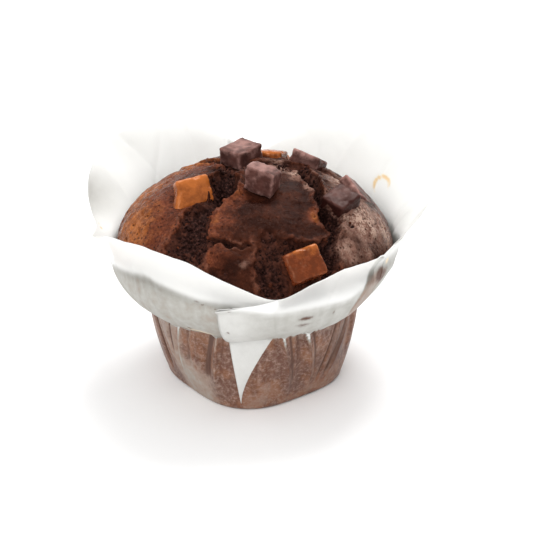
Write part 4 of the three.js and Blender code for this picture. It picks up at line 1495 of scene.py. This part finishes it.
class MUFFIN_OT_crumbs(bpy.types.Operator):
    """Models the loose crumbs that lie in the splits and round the chunks, as one piece"""

    bl_idname = "muffin.crumbs"
    bl_label = "Crumbs"

    def execute(self, context):
        draw = np.random.default_rng(SEED)
        cake = bpy.data.objects["cake_baked"]
        spots = read_points(cake) / MM
        crumb = np.empty(len(spots), np.float32)
        cake.data.attributes["crumb"].data.foreach_get("value", crumb)

        # They lie where the cake's crumb is open.
        chosen = np.flatnonzero((crumb > CRUMB_SHARE) & (spots[:, 2] > CRUMB_LOWEST))
        chosen = draw.choice(chosen, context.scene.muffin_sizes.crumbs, replace=False)
        bpy.ops.mesh.primitive_ico_sphere_add(subdivisions=1, radius=1)
        seed_piece = context.object
        shape = read_points(seed_piece)
        faces = np.array([tuple(p.vertices) for p in seed_piece.data.polygons])

        # Each is a rough ball of its own shape and size.
        count, per = len(chosen), len(shape)
        size = CRUMB_LEAST + CRUMB_RANGE * draw.random(count) ** 3
        rough = shape[None] * (0.7 + 0.5 * draw.random((count, per, 1))) * size[:, None, None]
        rough *= 0.7 + 0.6 * draw.random((count, 1, 3))
        points = (rough + spots[chosen][:, None]).reshape(-1, 3)
        mesh = bpy.data.meshes.new("crumbs")
        index = (faces[None] + per * np.arange(count)[:, None, None]).reshape(-1, 3)
        mesh.from_pydata(points * MM, [], index.tolist())
        piece = bpy.data.objects.new("crumbs", mesh)
        context.scene.collection.objects.link(piece)
        bpy.data.objects.remove(seed_piece)
        shade = np.repeat(draw.random(count), per)
        crust = shade < TOASTED_CRUMBS
        write_fields(piece, crumb=1.0 * ~crust, deep=0.3 + 0.7 * shade, toast=0.3 * crust, bloom=0.0 * shade)
        finish_piece(piece, "crumbs", finish_for(context, "cake"))
        return {"FINISHED"}


class MUFFIN_OT_stage(bpy.types.Operator):
    """Sets up the pale floor, the soft lights and the camera"""

    bl_idname = "muffin.stage"
    bl_label = "Stage"

    def execute(self, context):
        scene = context.scene
        stage = scene.muffin_stage
        scene.view_settings.view_transform = "Standard"
        floor_finish = Finish("pale floor")
        floor_finish.set(Base_Color=(0.93, 0.93, 0.93, 1), Roughness=0.8)
        bpy.ops.mesh.primitive_plane_add(size=FLOOR_SIZE)
        floor = context.object
        floor.name = "floor"
        floor.data.materials.append(floor_finish.material)

        world = bpy.data.worlds.new("white surround")
        world.use_nodes = True
        world.node_tree.nodes["Background"].inputs["Color"].default_value = (1, 1, 1, 1)
        world.node_tree.nodes["Background"].inputs["Strength"].default_value = stage.fill
        scene.world = world

        target = Vector(AIM)
        for name, place, size, power in (
            ("key", KEY_PLACE, KEY_SIZE, stage.key_power),
            ("back", BACK_PLACE, BACK_SIZE, stage.back_power),
        ):
            light = bpy.data.lights.new(name, "AREA")
            light.size = size
            light.energy = power
            lamp = bpy.data.objects.new(name, light)
            lamp.location = place
            lamp.rotation_euler = (target - Vector(place)).to_track_quat("-Z", "Y").to_euler()
            scene.collection.objects.link(lamp)

        lens = bpy.data.cameras.new("camera")
        lens.lens = stage.lens
        lens.sensor_width = SENSOR_WIDTH
        lens.shift_x = SHIFT_X
        lens.shift_y = SHIFT_Y
        camera = bpy.data.objects.new("camera", lens)
        back = Vector((0, -math.cos(stage.elevation), math.sin(stage.elevation)))
        camera.location = target + back * stage.distance
        camera.rotation_euler = (-back).to_track_quat("-Z", "Y").to_euler()
        scene.collection.objects.link(camera)
        scene.camera = camera
        return {"FINISHED"}


class MUFFIN_PT_panel(bpy.types.Panel):
    bl_idname = "MUFFIN_PT_panel"
    bl_label = "Muffin"
    bl_space_type = "VIEW_3D"
    bl_region_type = "UI"
    bl_category = "Muffin"

    def draw(self, context):
        for group in (context.scene.muffin_sizes, context.scene.muffin_look, context.scene.muffin_stage):
            box = self.layout.box()
            for name in group.__annotations__:
                box.prop(group, name)
        for operator in STEPS:
            self.layout.operator(operator.bl_idname)


STEPS = (
    MUFFIN_OT_stage,
    MUFFIN_OT_cake,
    MUFFIN_OT_case,
    MUFFIN_OT_pleats,
    MUFFIN_OT_chocolate,
    MUFFIN_OT_caramel,
    MUFFIN_OT_crumbs,
)
CLASSES = (MuffinSizes, MuffinLook, MuffinStage, *STEPS, MUFFIN_PT_panel)


def register():
    for cls in CLASSES:
        bpy.utils.register_class(cls)
    bpy.types.Scene.muffin_sizes = PointerProperty(type=MuffinSizes)
    bpy.types.Scene.muffin_look = PointerProperty(type=MuffinLook)
    bpy.types.Scene.muffin_stage = PointerProperty(type=MuffinStage)


def unregister():
    del bpy.types.Scene.muffin_stage
    del bpy.types.Scene.muffin_look
    del bpy.types.Scene.muffin_sizes
    for cls in reversed(CLASSES):
        bpy.utils.unregister_class(cls)


def main():
    register()
    bpy.ops.muffin.stage()
    bpy.ops.muffin.cake()
    bpy.ops.muffin.case()
    bpy.ops.muffin.pleats()
    bpy.ops.muffin.chocolate()
    bpy.ops.muffin.caramel()
    bpy.ops.muffin.crumbs()


if __name__ == "__main__":
    main()
